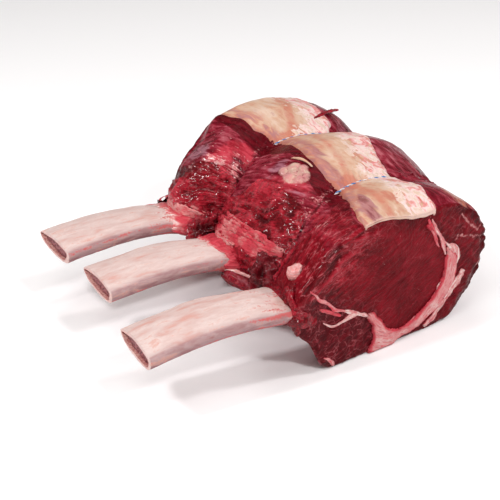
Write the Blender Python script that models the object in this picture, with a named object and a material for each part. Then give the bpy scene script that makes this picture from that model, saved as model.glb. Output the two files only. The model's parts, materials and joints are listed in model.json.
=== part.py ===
"""Three-bone beef rib roast, raw, frenched and tied with two loops of butcher's twine.

Lengths are in millimetres and become metres when a mesh is made. +X runs away
from the rib tips, -Y faces the cut end, +Z is up, and the meat rests on z = 0.
The meat is a loft along Y. Every cross-section is split into the same layers,
so each layer runs the whole length of the roast.
"""
import math

import bmesh
import bpy
from mathutils import Matrix, Vector
from mathutils.geometry import convex_hull_2d

MM = 0.001
GAP = 0.3                    # clearance between neighbouring solids

# Length of the meat, front cut to rear end, and the two tied creases.
FRONT_Y = -91.6
REAR_Y = 88.0
TWINE_Y = (-48.5, 33.5)
TWINE_RADIUS = 0.65
TWINE_STANDOFF = 0.4         # from the crease floor to the twine
GROOVE_HALF_WIDTH = 1.2      # flat floor of a crease, where the twine lies
LOBE_HALF_LENGTH = 36.0      # from a crease to where the meat is full again
CLOSEST_STATIONS = 1.4

# How far each narrow place pulls the section towards its core, as a share of the
# distance to it: the two creases, and the rounded rear end.
CORE_X = 45.0
CORE_Z = 42.0
HALF_SPAN = 80.0             # from the core to the far side of a full section
REAR_PINCH_Y = 92.0
PINCH_Y = (*TWINE_Y, REAR_PINCH_Y)
PINCH_LEFT = (0.23, 0.38, 0.24)
PINCH_RIGHT = (0.05, 0.05, 0.10)
PINCH_TOP = (0.15, 0.25, 0.16)
PINCH_BOTTOM = (0.11, 0.11, 0.11)
TOP_CREASE_POWER = 1.3       # creases are gentle valleys on top, steep clefts at the sides

# The middle lobe stands back on the left and is fuller at its right shoulder.
MIDDLE_Y = -8.0
MIDDLE_LENGTH = 30.0
MIDDLE_SETBACK = 6.0
MIDDLE_SWELL = 3.5

# Above the ribs the eye muscle stands back from their roots, most at the middle lobe.
LOBE_Y = (-80.0, -8.0, 62.0)
EYE_SETBACK = (6.0, 13.0, 0.0)
ROOT_Z = 52.0
SETBACK_RISE = 14.0

# Under the ribs the meat is scooped out behind the front cut.
SCOOP = 16.0
SCOOP_LENGTH = 14.0
SCOOP_X = 25.0
SCOOP_SPAN = 45.0

# The section drifts away from the ribs and grows taller towards the rear.
DRIFT_PER_MM = 0.13
RISE_PER_MM = 0.10 / 150.0
REFERENCE_Y = -80.0

# The cut ends have a rounded rim, and the front fat cover slopes down to the cut.
FRONT_RIM = 2.2
FRONT_RIM_LENGTH = 5.28
REAR_RIM = 7.0
REAR_RIM_LENGTH = 14.0
RIM_ARM = 55.0               # mean reach of a section, over which a rim is spread
FRONT_SLOPE_LENGTH = 24.0
FRONT_SLOPE_LEFT = 5.0
FRONT_SLOPE_MIDDLE = 13.0
FRONT_SLOPE_X = 58.0
FRONT_SLOPE_WIDTH = 26.0
FAT_CREST_Z = 96.0

# Corners where layers meet, as (x, z) in the section at REFERENCE_Y.
ROOT_TOP = (-35.0, 57.0)
ROOT_BOTTOM = (-36.5, 51.0)
FAT_LEFT = (9.0, 93.0)
FAT_RIGHT = (74.0, 92.0)
SEAM_TOP_INNER = (67.0, 82.0)
SEAM_TOP_OUTER = (69.5, 83.0)
WEDGE_RIGHT = (38.0, -2.0)
WEDGE_LEFT = (19.0, -2.0)

# Outer stretches between those corners, each a smooth curve through a few points.
EYE_SIDE = (ROOT_TOP, (-29.0, 66.0), (-20.0, 76.5), (-6.5, 87.0), FAT_LEFT)
FAT_TOP = (FAT_LEFT, (28.0, 97.0), (52.0, 97.0), FAT_RIGHT)
CAP_SIDE = (FAT_RIGHT, (92.0, 86.0), (108.0, 75.0), (118.0, 62.0), (122.5, 47.0),
            (119.0, 31.0), (112.0, 15.0), (98.0, 4.0), (80.0, -2.0), (58.0, -2.0), WEDGE_RIGHT)
WEDGE_FOOT = (WEDGE_RIGHT, WEDGE_LEFT)
RIB_SIDE = (WEDGE_LEFT, (2.0, -2.0), (-12.0, -2.0), (-20.0, 9.0), (-24.0, 20.0),
            (-33.0, 29.0), (-37.5, 39.0), ROOT_BOTTOM)
ROOT_END = (ROOT_BOTTOM, ROOT_TOP)

# Inner borders of the layers.
FAT_UNDER = (FAT_LEFT, (24.0, 93.5), (38.0, 90.0), (52.0, 85.0), SEAM_TOP_INNER)
FAT_FOOT = (SEAM_TOP_INNER, SEAM_TOP_OUTER)
FAT_END = (SEAM_TOP_OUTER, FAT_RIGHT)
SEAM_INNER = (SEAM_TOP_INNER, (76.0, 68.0), (84.0, 55.0), (86.0, 44.0), (83.0, 31.0), (75.0, 20.0),
              (60.0, 10.0), (46.0, 7.0), (36.0, 11.0), (29.0, 21.0), (20.0, 32.0),
              (6.0, 43.5), (-12.0, 54.5), (-26.0, 59.5), ROOT_TOP)
SEAM_OUTER = (SEAM_TOP_OUTER, (79.0, 68.0), (88.0, 56.0), (95.0, 44.0), (93.0, 28.0), (81.0, 14.0),
              (62.0, 4.0), (47.0, 2.0), WEDGE_RIGHT)
SEAM_RIB = (WEDGE_LEFT, (26.0, 8.0), (24.0, 19.0), (15.0, 29.0), (3.0, 38.0),
            (-12.0, 50.0), (-26.0, 54.5), ROOT_BOTTOM)

# Ribs, rear to front: entry point (x, y), bared length, heading in degrees towards +Y,
# height of the tip's middle, bulge of the far edge, and sideways turn per mm inside the meat.
RIBS = (
    {"entry": (-17.9, 64.6), "length": 85.5, "heading": 4.6, "tip_z": 44.6, "flare": 0.6, "turn": -0.22},
    {"entry": (-19.0, 2.2), "length": 88.7, "heading": 7.7, "tip_z": 43.4, "flare": 2.4, "turn": 0.0},
    {"entry": (-30.9, -74.1), "length": 97.9, "heading": 9.2, "tip_z": 40.7, "flare": 2.4, "turn": 0.30},
)
RIB_WIDTH = 41.9
RIB_TAPER = 0.12             # share of the width lost from tip to entry
RIB_INSIDE = 24.0            # length held in the meat
RIB_INSIDE_Z = 36.5
RIB_TURN_FROM = 12.0         # a root swings sideways from here inwards
RIB_ENTRY_Z = 43.5
RIB_MIDDLE_Z = 47.6
RIB_HALF_HEIGHT = 6.2
RIB_STEPS = 9
FLARE_FROM = -0.8            # the far edge of a section, where the bulge shows
FLARE_SPREAD = 0.12
SOCKET_SHARE = 0.4           # share of the bared length that the socket cutter covers
SOCKET_STEPS = 6
MARROW_WIDTH_SHARE = 0.84    # the marrow hole, as a share of the rib's section
MARROW_HEIGHT_SHARE = 0.60
MARROW_DEPTH = 8.0
MARROW_RECESS = 1.4
HOLE_OVERRUN = 1.0
# Rib section for a width of 2, as (across, up in mm): far edge, broad top, narrow near face.
RIB_SECTION = (
    (-1.00, 1.6), (-0.86, 3.6), (-0.62, 5.0), (-0.30, 6.0), (0.05, 6.2), (0.42, 5.8),
    (0.74, 4.8), (0.93, 3.4), (1.00, 0.6), (0.97, -3.0), (0.84, -4.8), (0.50, -6.0),
    (0.10, -6.2), (-0.35, -5.4), (-0.72, -3.6), (-0.94, -0.8),
)

COLOURS = {
    "eye_muscle": (0.33, 0.012, 0.025),
    "cap_muscle": (0.27, 0.010, 0.022),
    "rib_muscle": (0.19, 0.008, 0.020),
    "seam_fat": (0.72, 0.36, 0.33),
    "back_fat": (0.76, 0.47, 0.32),
    "rib_bone": (0.78, 0.60, 0.56),
    "marrow": (0.13, 0.02, 0.03),
    "twine": (0.55, 0.62, 0.72),
}


def smooth_curve(points, steps=2):
    """Catmull-Rom curve through 2D points, without its last point."""
    ends = [points[0]] + list(points) + [points[-1]]
    curve = []
    for a, b, c, d in zip(ends, ends[1:], ends[2:], ends[3:]):
        for step in range(steps):
            t = step / steps
            curve.append(tuple(
                0.5 * (2 * q + (r - p) * t + (2 * p - 5 * q + 4 * r - s) * t * t
                       + (3 * q - p - 3 * r + s) * t ** 3)
                for p, q, r, s in zip(a, b, c, d)))
    return curve


def backwards(points, steps=2):
    """The same curve run the other way, without its last point."""
    full = smooth_curve(points, steps) + [points[-1]]
    return full[:0:-1]


def closeness(y, pinch_y):
    """1 on the floor of a crease, falling evenly to 0 at a lobe's full section."""
    away = max(0.0, abs(y - pinch_y) - GROOVE_HALF_WIDTH)
    return max(0.0, 1.0 - away / LOBE_HALF_LENGTH)


def rim(y):
    """Inset of a section near a cut end, following a quarter ellipse."""
    front = max(0.0, 1.0 - (y - FRONT_Y) / FRONT_RIM_LENGTH)
    rear = max(0.0, 1.0 - (REAR_Y - y) / REAR_RIM_LENGTH)
    return (FRONT_RIM * (1.0 - math.sqrt(1.0 - front * front))
            + REAR_RIM * (1.0 - math.sqrt(1.0 - rear * rear)))


def ramp(value, start, length):
    """0 up to start, then rising evenly to 1."""
    return min(1.0, max(0.0, (value - start) / length))


def lerp_lobes(values, y):
    """A value given at the three lobes' middles, run evenly between them."""
    first, middle, last = LOBE_Y
    if y < middle:
        return values[0] + (values[1] - values[0]) * ramp(y, first, middle - first)
    return values[1] + (values[2] - values[1]) * ramp(y, middle, last - middle)


def place(point, y):
    """A section point of REFERENCE_Y moved to the section at y."""
    x, z = point
    middle = math.exp(-((y - MIDDLE_Y) / MIDDLE_LENGTH) ** 2)
    side = (x - CORE_X) / HALF_SPAN
    if side < 0.0:
        x -= side * (MIDDLE_SETBACK * middle + lerp_lobes(EYE_SETBACK, y) * ramp(z, ROOT_Z, SETBACK_RISE))
    else:
        x += side * MIDDLE_SWELL * middle
        z += side * MIDDLE_SWELL * middle * ramp(z, CORE_Z, SETBACK_RISE)
    if z < CORE_Z and x < SCOOP_X:
        scoop = SCOOP * (1.0 - math.exp(-(y - FRONT_Y) / SCOOP_LENGTH))
        x += scoop * (CORE_Z - z) / CORE_Z * (SCOOP_X - x) / SCOOP_SPAN
    for pinch_y, left, right, top, bottom in zip(PINCH_Y, PINCH_LEFT, PINCH_RIGHT, PINCH_TOP, PINCH_BOTTOM):
        near = closeness(y, pinch_y)
        cleft = 1.0 - math.sqrt(1.0 - near * near)
        x -= (x - CORE_X) * cleft * (left if x < CORE_X else right)
        z -= (z - CORE_Z) * (top * near ** TOP_CREASE_POWER if z > CORE_Z else bottom * cleft)
    slope = max(0.0, 1.0 - (y - FRONT_Y) / FRONT_SLOPE_LENGTH) ** 2
    bump = math.exp(-((point[0] - FRONT_SLOPE_X) / FRONT_SLOPE_WIDTH) ** 2)
    drop = FRONT_SLOPE_LEFT + (FRONT_SLOPE_MIDDLE - FRONT_SLOPE_LEFT) * bump
    z -= slope * drop * max(0.0, (z - CORE_Z) / (FAT_CREST_Z - CORE_Z)) ** 2
    core = Vector((CORE_X, CORE_Z))
    arm = Vector((x, z)) - core
    arm *= 1.0 - rim(y) / RIM_ARM
    x, z = core + arm
    return (x + DRIFT_PER_MM * (y - REFERENCE_Y), z * (1.0 + RISE_PER_MM * (y - REFERENCE_Y)))


def inset(ring, distance):
    """A closed 2D ring, run anticlockwise, moved inwards with mitred corners."""
    moved = []
    count = len(ring)
    for index, here in enumerate(ring):
        before = Vector(ring[index - 1])
        after = Vector(ring[(index + 1) % count])
        here = Vector(here)
        normals = []
        for start, end in ((before, here), (here, after)):
            along = end - start
            if along.length > 1e-6:
                normals.append(Vector((-along.y, along.x)).normalized())
        mitre = sum(normals, Vector((0.0, 0.0)))
        if mitre.length < 1e-6:
            mitre = normals[0]
        mitre.normalize()
        lean = max(0.35, mitre.dot(normals[0]))
        moved.append(tuple(here + mitre * (distance / lean)))
    return moved


def signed_area(ring):
    """Area of a 2D ring, positive when it runs anticlockwise."""
    return 0.5 * sum(a[0] * b[1] - b[0] * a[1] for a, b in zip(ring, ring[1:] + ring[:1]))


def stations():
    """Y values of the sections, close together at creases and rims."""
    values = {FRONT_Y, FRONT_Y + 1.5, FRONT_Y + 6.0, FRONT_Y + 15.0, REAR_Y, REAR_Y - 2.0, REAR_Y - 11.0}
    for twine_y in TWINE_Y:
        for away in (0.0, 3.5, 12.0, 24.0):
            offset = GROOVE_HALF_WIDTH + away
            values.update((twine_y - offset, twine_y + offset))
    values.add(0.5 * sum(TWINE_Y))
    ordered = sorted(values)
    kept = ordered[:1]
    for value in ordered[1:]:
        if value - kept[-1] > CLOSEST_STATIONS:
            kept.append(value)
    return kept


def new_object(name, bm, material_name):
    """Finish a bmesh of millimetres as an object in metres with its own material."""
    bmesh.ops.recalc_face_normals(bm, faces=bm.faces)
    bmesh.ops.scale(bm, vec=(MM, MM, MM), verts=bm.verts)
    mesh = bpy.data.meshes.new(name)
    bm.to_mesh(mesh)
    bm.free()
    obj = bpy.data.objects.new(name, mesh)
    bpy.context.scene.collection.objects.link(obj)
    dress(obj, material_name)
    mesh.shade_smooth()
    mesh.set_sharp_from_angle(angle=math.radians(40.0))
    return obj


def dress(obj, colour_name):
    """Give an object its own wet, slightly glossy material."""
    material = bpy.data.materials.new(obj.name + "_look")
    material.use_nodes = True
    shader = material.node_tree.nodes["Principled BSDF"]
    shader.inputs["Base Color"].default_value = (*COLOURS[colour_name], 1.0)
    shader.inputs["Roughness"].default_value = 0.38
    shader.inputs["Metallic"].default_value = 0.0
    obj.data.materials.append(material)


def loft(name, rings, material_name):
    """A closed solid through rings of 3D points, capped at both ends."""
    bm = bmesh.new()
    loops = []
    for ring in rings:
        verts = [bm.verts.new(point) for point in ring]
        loops.append([bm.edges.new(pair) for pair in zip(verts, verts[1:] + verts[:1])])
    for near, far in zip(loops, loops[1:]):
        bmesh.ops.bridge_loops(bm, edges=near + far)
    bmesh.ops.holes_fill(bm, edges=loops[0], sides=0)
    bmesh.ops.holes_fill(bm, edges=loops[-1], sides=0)
    bmesh.ops.triangulate(bm, faces=bm.faces, quad_method="SHORT_EDGE", ngon_method="EAR_CLIP")
    return new_object(name, bm, material_name)


def layer(name, outline):
    """One layer of the meat, lofted through every station."""
    rings = []
    for y in stations():
        ring = [place(point, y) for point in outline]
        if signed_area(ring) < 0.0:
            ring.reverse()
        rings.append([(x, y, max(0.0, z)) for x, z in inset(ring, 0.5 * GAP)])
    return loft(name, rings, name)


def meat_layers():
    """The five layers that show on the cut face."""
    outlines = {
        "eye_muscle": smooth_curve(EYE_SIDE) + smooth_curve(FAT_UNDER) + smooth_curve(SEAM_INNER, 1),
        "back_fat": (smooth_curve(FAT_TOP) + backwards(FAT_END, 1) + backwards(FAT_FOOT, 1)
                     + backwards(FAT_UNDER)),
        "cap_muscle": smooth_curve(CAP_SIDE) + backwards(SEAM_OUTER, 1) + smooth_curve(FAT_END, 1),
        "seam_fat": (smooth_curve(FAT_FOOT, 1) + smooth_curve(SEAM_OUTER, 1) + smooth_curve(WEDGE_FOOT, 1)
                     + smooth_curve(SEAM_RIB, 1) + smooth_curve(ROOT_END, 1) + backwards(SEAM_INNER, 1)),
        "rib_muscle": smooth_curve(RIB_SIDE) + backwards(SEAM_RIB, 1),
    }
    return {name: layer(name, outline) for name, outline in outlines.items()}


def rib_height(rib, along):
    """Height of a rib's centre line: it dips into the meat and arches outside it."""
    length = rib["length"]
    knots = ((-RIB_INSIDE, RIB_INSIDE_Z), (0.0, RIB_ENTRY_Z), (0.5 * length, RIB_MIDDLE_Z),
             (length, rib["tip_z"]))
    height = 0.0
    for knot, z in knots:
        weight = z
        for other, _ in knots:
            if other != knot:
                weight *= (along - other) / (knot - other)
        height += weight
    return height


def rib_ring(rib, along, grow=0.0, shares=(1.0, 1.0)):
    """One ring of a rib, grown by some mm, or shrunk to shares of its width and height."""
    share = min(1.0, max(0.0, along / rib["length"]))
    half = 0.5 * RIB_WIDTH * (1.0 - RIB_TAPER * (1.0 - share)) + grow
    flare = rib["flare"] * math.exp(-((share - 0.5) / FLARE_SPREAD) ** 2)
    heading = math.radians(rib["heading"])
    out = Vector((-math.cos(heading), math.sin(heading), 0.0))
    near = Vector((-math.sin(heading), -math.cos(heading), 0.0))
    centre = Vector((*rib["entry"], rib_height(rib, along))) + out * along
    centre.y += rib["turn"] * max(0.0, RIB_TURN_FROM - along)
    ring = []
    for across, up in RIB_SECTION:
        side = shares[0] * (across * half - (flare if across < FLARE_FROM else 0.0))
        lift = shares[1] * up + math.copysign(grow, up)
        ring.append(tuple(centre + near * side + Vector((0.0, 0.0, lift))))
    return ring


def rib_rings(rib, grow, first, last, steps):
    """Rings of a rib between two places along it."""
    return [rib_ring(rib, first + (last - first) * step / steps, grow) for step in range(steps + 1)]


def cut(obj, cutter):
    """Take a cutter's shape out of an object."""
    cutter.hide_render = True
    cutter.display_type = "WIRE"
    modifier = obj.modifiers.new(cutter.name, "BOOLEAN")
    modifier.operation = "DIFFERENCE"
    modifier.solver = "EXACT"
    modifier.object = cutter


def make_rib(number, rib, meat):
    """A rib with an open marrow hole at its sawn tip, its marrow, and its socket in the meat."""
    length = rib["length"]
    bone = loft("rib_bone_%d" % number, rib_rings(rib, 0.0, -RIB_INSIDE, length, RIB_STEPS), "rib_bone")
    hole = (MARROW_WIDTH_SHARE, MARROW_HEIGHT_SHARE)
    hole_ends = (length - MARROW_DEPTH, length + HOLE_OVERRUN)
    hole_rings = [rib_ring(rib, along, shares=hole) for along in hole_ends]
    hole_cutter = loft("marrow_hole_%d" % number, hole_rings, "rib_bone")
    cut(bone, hole_cutter)
    filling = (MARROW_WIDTH_SHARE - 2.0 * GAP / RIB_WIDTH, MARROW_HEIGHT_SHARE - GAP / RIB_HALF_HEIGHT)
    filling_ends = (length - MARROW_DEPTH + GAP, length - MARROW_RECESS)
    filling_rings = [rib_ring(rib, along, shares=filling) for along in filling_ends]
    marrow = loft("marrow_%d" % number, filling_rings, "marrow")
    socket_rings = rib_rings(rib, GAP, -RIB_INSIDE - GAP, SOCKET_SHARE * length, SOCKET_STEPS)
    socket = loft("rib_socket_%d" % number, socket_rings, "rib_bone")
    for name in ("rib_muscle", "seam_fat", "eye_muscle"):
        cut(meat[name], socket)
    return [bone, hole_cutter, marrow, socket]


def make_twine(number, twine_y):
    """A tight closed loop of twine on the floor of its crease."""
    outline = (smooth_curve(EYE_SIDE) + smooth_curve(FAT_TOP) + smooth_curve(CAP_SIDE)
               + smooth_curve(WEDGE_FOOT, 1) + smooth_curve(RIB_SIDE) + smooth_curve(ROOT_END, 1))
    flat = [Vector(place(point, twine_y)) for point in outline]
    hull = [tuple(flat[index]) for index in convex_hull_2d(flat)]
    if signed_area(hull) < 0.0:
        hull.reverse()
    path = inset(hull, -(TWINE_RADIUS + TWINE_STANDOFF))
    curve = bpy.data.curves.new("twine_%d" % number, "CURVE")
    curve.dimensions = "3D"
    curve.bevel_depth = TWINE_RADIUS * MM
    curve.bevel_resolution = 1
    curve.use_fill_caps = True
    curve.render_resolution_u = 0
    spline = curve.splines.new("POLY")
    spline.points.add(len(path) - 1)
    for point, (x, z) in zip(spline.points, path):
        point.co = (x * MM, twine_y * MM, z * MM, 1.0)
    spline.use_cyclic_u = True
    obj = bpy.data.objects.new(curve.name, curve)
    bpy.context.scene.collection.objects.link(obj)
    dress(obj, "twine")
    return obj


def stand_on_origin(objects):
    """Shift everything so that the origin is the middle of the box's underside."""
    bpy.context.view_layer.update()
    graph = bpy.context.evaluated_depsgraph_get()
    corners = []
    for obj in objects:
        if obj.type == "MESH" and obj.display_type != "WIRE":
            corners += [vert.co for vert in obj.evaluated_get(graph).data.vertices]
    low = Vector([min(corner[axis] for corner in corners) for axis in range(3)])
    high = Vector([max(corner[axis] for corner in corners) for axis in range(3)])
    shift = Matrix.Translation((-0.5 * (low.x + high.x), -0.5 * (low.y + high.y), -low.z))
    for obj in objects:
        obj.data.transform(shift)


def build():
    """Make the whole roast."""
    for obj in list(bpy.data.objects):
        bpy.data.objects.remove(obj, do_unlink=True)
    meat = meat_layers()
    objects = list(meat.values())
    for number, rib in enumerate(RIBS, start=1):
        objects += make_rib(number, rib, meat)
    for number, twine_y in enumerate(reversed(TWINE_Y), start=1):
        objects.append(make_twine(number, twine_y))
    stand_on_origin(objects)


build()
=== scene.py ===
import json
import math

import bmesh
import bpy
import numpy as np
from bpy.props import FloatProperty, FloatVectorProperty, PointerProperty
from bpy.types import Operator, Panel, PropertyGroup
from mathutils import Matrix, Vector
from mathutils.bvhtree import BVHTree

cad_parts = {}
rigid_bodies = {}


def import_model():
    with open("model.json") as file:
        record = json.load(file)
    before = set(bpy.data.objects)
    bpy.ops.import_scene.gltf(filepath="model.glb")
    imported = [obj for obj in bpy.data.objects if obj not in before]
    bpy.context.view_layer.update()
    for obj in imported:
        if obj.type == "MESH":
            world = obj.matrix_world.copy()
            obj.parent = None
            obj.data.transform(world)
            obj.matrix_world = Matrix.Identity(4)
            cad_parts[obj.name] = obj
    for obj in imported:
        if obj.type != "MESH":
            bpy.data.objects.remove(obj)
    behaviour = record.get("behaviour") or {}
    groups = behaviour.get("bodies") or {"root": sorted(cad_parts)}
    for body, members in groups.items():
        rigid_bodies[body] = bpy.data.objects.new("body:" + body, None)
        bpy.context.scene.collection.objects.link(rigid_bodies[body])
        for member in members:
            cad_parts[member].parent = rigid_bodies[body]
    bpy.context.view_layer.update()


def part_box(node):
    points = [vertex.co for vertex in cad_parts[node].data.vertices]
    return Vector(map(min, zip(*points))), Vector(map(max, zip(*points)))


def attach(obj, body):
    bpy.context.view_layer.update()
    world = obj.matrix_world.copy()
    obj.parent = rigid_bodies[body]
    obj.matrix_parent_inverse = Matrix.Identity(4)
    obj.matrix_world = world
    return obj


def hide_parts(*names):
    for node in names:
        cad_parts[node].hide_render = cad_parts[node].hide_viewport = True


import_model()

bl_info = {
    "name": "Frenched Rib Roast",
    "version": (1, 0, 0),
    "blender": (4, 5, 0),
    "location": "View3D > Sidebar > Roast",
    "description": "Dresses the packed rib roast in meat, fat, bone and twine",
    "category": "Object",
}

MM = 0.001  # the shaping below works in millimetres, the finished meshes are in metres

MEAT_NODES = ("eye_muscle", "cap_muscle", "rib_muscle", "seam_fat", "back_fat")
RIB_NODES = ("rib_bone_1", "rib_bone_2", "rib_bone_3")
CORE_X, CORE_Z = 40.0, 42.0  # the line along the roast that its skin is measured from
SIDES = [v / MM for v in (min(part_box(n)[0][1] for n in MEAT_NODES), max(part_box(n)[1][1] for n in MEAT_NODES))]
FRONT, REAR = SIDES
# How finely each piece is divided, round it and along it.
BODY_MESH, FAT_MESH, SEAM_MESH = (380, 250), (120, 210), (230, 140)
RIB_MESH, SLEEVE_MESH = (96, 170), (120, 70)
RIB_STATIONS = 110  # measured sections of a rib
FAT_THICKNESS, SEAM_THICKNESS = 1.2, 2.5  # mm, as thin closed skins over the lean
FAR = 250.0  # where measuring rays start, well outside the roast
SKIN_STEP, CUT_STEP = 0.75, 1.25  # degrees between the skin's measured rows, mm between a cut end's
CUT_SPANS = ((-52, 146), (-4, 110))  # how far the measured cut end reaches in x and in z
EYE_MIDDLE = (42, 46)  # x and z of the middle of the eye muscle, which the seam goes round
RIB_SOCKETS = (150, 215)  # the angles at which ribs leave the skin
SOCKET_PASSES = 1500  # rounds of smoothing that close the skin over a socket
END_RELIEF = 5  # how far the lean stands from a flat cut end at most
RIBBON_INSET = {"front": 2.5, "rear": 9.0}  # how far strands of the seam stay inside the skin
TWINE_RADIUS, PER_TURN = 0.65, 14  # mm, and points on one twist of a ply
TWINE_Y = [(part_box(n)[0][1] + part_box(n)[1][1]) / 2 / MM for n in ("twine_1", "twine_2")]

# Where one kind of skin gives way to the next: (place along the roast in mm, angle in degrees).
FAT_LEFT = ((-92, 126), (-86, 124), (-78, 120), (-65, 114.5), (-49, 108), (-37, 105.5), (-18, 101),
    (-2, 98.5), (16, 93), (33, 88), (41, 91), (50, 95), (62, 96.5), (74, 100), (88, 103))
FAT_RIGHT = ((-92, 57), (-80, 58), (-64, 55), (-49, 52), (-28, 51), (-17, 50), (-3, 47), (20, 42), (33, 40),
             (44, 36), (54, 37), (66, 40), (76, 44), (88, 46))
STRIP_LEFT = ((-92, 137), (-77, 130), (-61, 122), (-45, 119), (-37, 117), (-28, 114), (-18, 109), (0, 106),
              (20, 106), (33, 107), (45, 108), (60, 107), (76, 106), (88, 108))
RAGGED_TOP = ((-92, 150), (-80, 143), (-70, 142), (-58, 150), (-50, 152), (-45, 136), (-28, 129),
    (-12, 127), (3, 132), (10, 142), (26, 150), (33, 138), (45, 132), (55, 134), (63, 144), (76, 150),
    (88, 152))

# Marks on the skin: (angle in degrees, place along the roast in mm, size in mm, strength).
# PALE_MARKS: pale tissue and frays, and painted highlight on the gathers beside the twine
PALE_MARKS = ((143, 62, 4, 0.6), (132, 53, 3.5, 0.8), (131, 46, 4, 0.8), (130, 39, 4, 0.6),
    (133, 35, 3, 0.5), (131, 69, 4, 0.6), (136, 74, 4, 0.7), (111, -44, 3, 0.4), (121, -45, 4, 0.35),
    (133, -46, 4, 0.3), (127, -17, 4, 0.3), (139, -66, 2.5, 0.5), (135, -71, 2.5, 0.5),
    (147, -54, 2.5, 0.4), (104, 36, 3, 0.4), (30, 58, 7, 0.35), (38, -12, 8, 0.4), (30, -32, 6, 0.4),
    (24, 20, 8, 0.3), (-20, 50, 9, 0.3), (0, -30, 8, 0.25), (160, 10, 5, 0.4), (168, 60, 6, 0.4),
    (47, -48, 3, 0.6))
LILAC_MARKS = ((134, 71, 8, 0.9), (128, 69, 7, 0.8), (131, 60, 6, 0.6), (119, -3, 6, 0.8),
    (112, -3, 5, 0.6), (124, -31, 6, 0.5), (103, 50, 5, 0.6), (104, 66, 5, 0.4), (30, 40, 14, 0.5),
    (38, -20, 14, 0.5), (30, -62, 12, 0.5), (20, 70, 12, 0.4))
ROSE_MARKS = ((113, 45, 5, 1.0), (112, 39, 5, 1.0), (117, 34, 5, 0.8), (124, 48, 8, 0.9), (134, 43, 7, 0.8),
    (138, 52, 6, 0.8), (128, -11, 8, 0.9), (122, -22, 7, 0.8), (119, -32, 6, 0.6), (130, -50, 9, 0.6),
    (134, -62, 8, 0.5), (35, -86, 9, 0.5))
ORANGE_MARKS = ((35, -86, 9, 1.4), (38, -74, 8, 1.1), (33, 52, 8, 0.5))
# The small pad of fat by the tendon, lobe by lobe: (angle, place along the roast, size in mm).
PAD_LOBES = ((111.5, -14.0, 5.0), (109.0, -20.0, 4.6), (119.5, -18.0, 5.2), (117.0, -25.0, 5.0),
    (117.5, -10.0, 4.0), (112.5, -26.0, 3.4))
# Thin pale membranes across the cut end, as (x, z) in mm.
MEMBRANES = (((89, 74), (96, 66), (104, 58), (109, 62)),
    ((85, 57), (87, 59.5), (94, 57.5), (100, 54), (107, 52), (108, 47)), ((112, 40), (105, 33), (100, 22)))
# Strands of the seam on the front cut end: ((x, z, half width) in mm, ...), how bloody.
SEAM_RIBBONS = ((((60.5, 78, 0.6), (62.5, 73, 1.0), (65.9, 66.5, 1.2), (68.2, 60, 1.1), (70.7, 56, 0.4)),
    0.75), (((63.5, 77, 0.6), (67, 70, 1.2), (70.5, 65, 1.5), (73.8, 58, 1.5), (76.6, 49, 0.6)), 0.40),
    (((75, 59, 0.4), (79, 55, 1.0), (83, 52.5, 2.4), (85.0, 47, 3.6), (84.8, 41, 3.9), (83.2, 35.5, 3.6),
    (82.2, 33.5, 3.0)), -0.25), (((84.5, 37, 3.0), (81.0, 32, 4.0), (75.5, 26.5, 3.9), (71, 22, 3.1)),
    -0.20), (((75.5, 24.0, 2.0), (70.5, 18.8, 2.9), (66, 14.8, 2.9), (60.5, 10.5, 2.5), (55, 7.6, 1.2)),
    -0.05), (((93.5, 33.5, 1.4), (89.3, 27.8, 2.7), (83.4, 22.0, 2.9), (78.6, 17.2, 2.2)), -0.05),
    (((81.0, 18.8, 1.0), (76.6, 14.2, 2.2), (72.5, 10.5, 2.3), (67.5, 6.5, 2.0), (61.5, 3.4, 1.2)), 0.15),
    (((54, 13, 0.5), (50, 9.6, 1.3), (45, 7, 1.6), (38.5, 4.6, 0.7)), 0.30),
    (((36, 8.5, 0.8), (32, 5.4, 3.2), (26, 3.4, 3.8), (19, 1.6, 2.4), (16.5, 0.8, 1.0)), 0.0),
    (((16.5, 25, 0.6), (20.5, 20.5, 0.9), (23.2, 14.5, 1.0), (23.4, 9.5, 1.5), (20.5, 4.5, 1.2)), 0.45),
    (((-31, 58.5, 0.5), (-27, 54.5, 0.8), (-23, 49.5, 1.2), (-18.1, 46.5, 1.1), (-11.5, 40.0, 1.0),
    (-4, 36.6, 0.5)), 0.65), (((-24, 44.5, 0.4), (-18.5, 41, 1.3), (-12, 37.2, 1.2), (-6.5, 34, 0.5)),
    0.85), (((-9, 39, 0.4), (-4, 36.4, 1.0), (1, 34, 1.2), (6, 31.2, 1.0), (11.5, 28.5, 1.0),
    (17.6, 24.2, 0.5)), -0.05), (((6, 31, 0.5), (0, 31.6, 1.8), (-4.5, 29.8, 1.1), (-9, 28.2, 0.7),
    (-13.5, 28.6, 0.6), (-19, 32.5, 0.4)), 0.15),
    (((-20, 10, 0.4), (-16.5, 8.0, 1.2), (-13, 4.5, 1.2), (-11.5, 1.6, 0.7)), 0.45),)
# Hand-sized unevenness of the lean: (place in mm, size in mm, height in mm).
SWELLINGS = (((25, 80, 99), 8, 3.0), ((6, 76, 88), 16, -6.0), ((-14, 84, 68), 14, -3.0),
    ((-22, 66, 62), 10, 2.0), ((-20, 86, 47), 13, -5.0), ((128, -90, 34), 8, -5.0),
    ((121, -90, 18), 9, -4.5), ((98, -92, 4), 8, -3.5), ((131, -90, 55), 7, -2.5),
    ((114, -92, 37), 4, -2.5), ((106, -92, 21), 5, -2.5), ((103, -92, 9), 4, -2.0),
    ((-15, -92, 30), 8, -2.6), ((-22, -92, 36), 6, -1.5))


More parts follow.
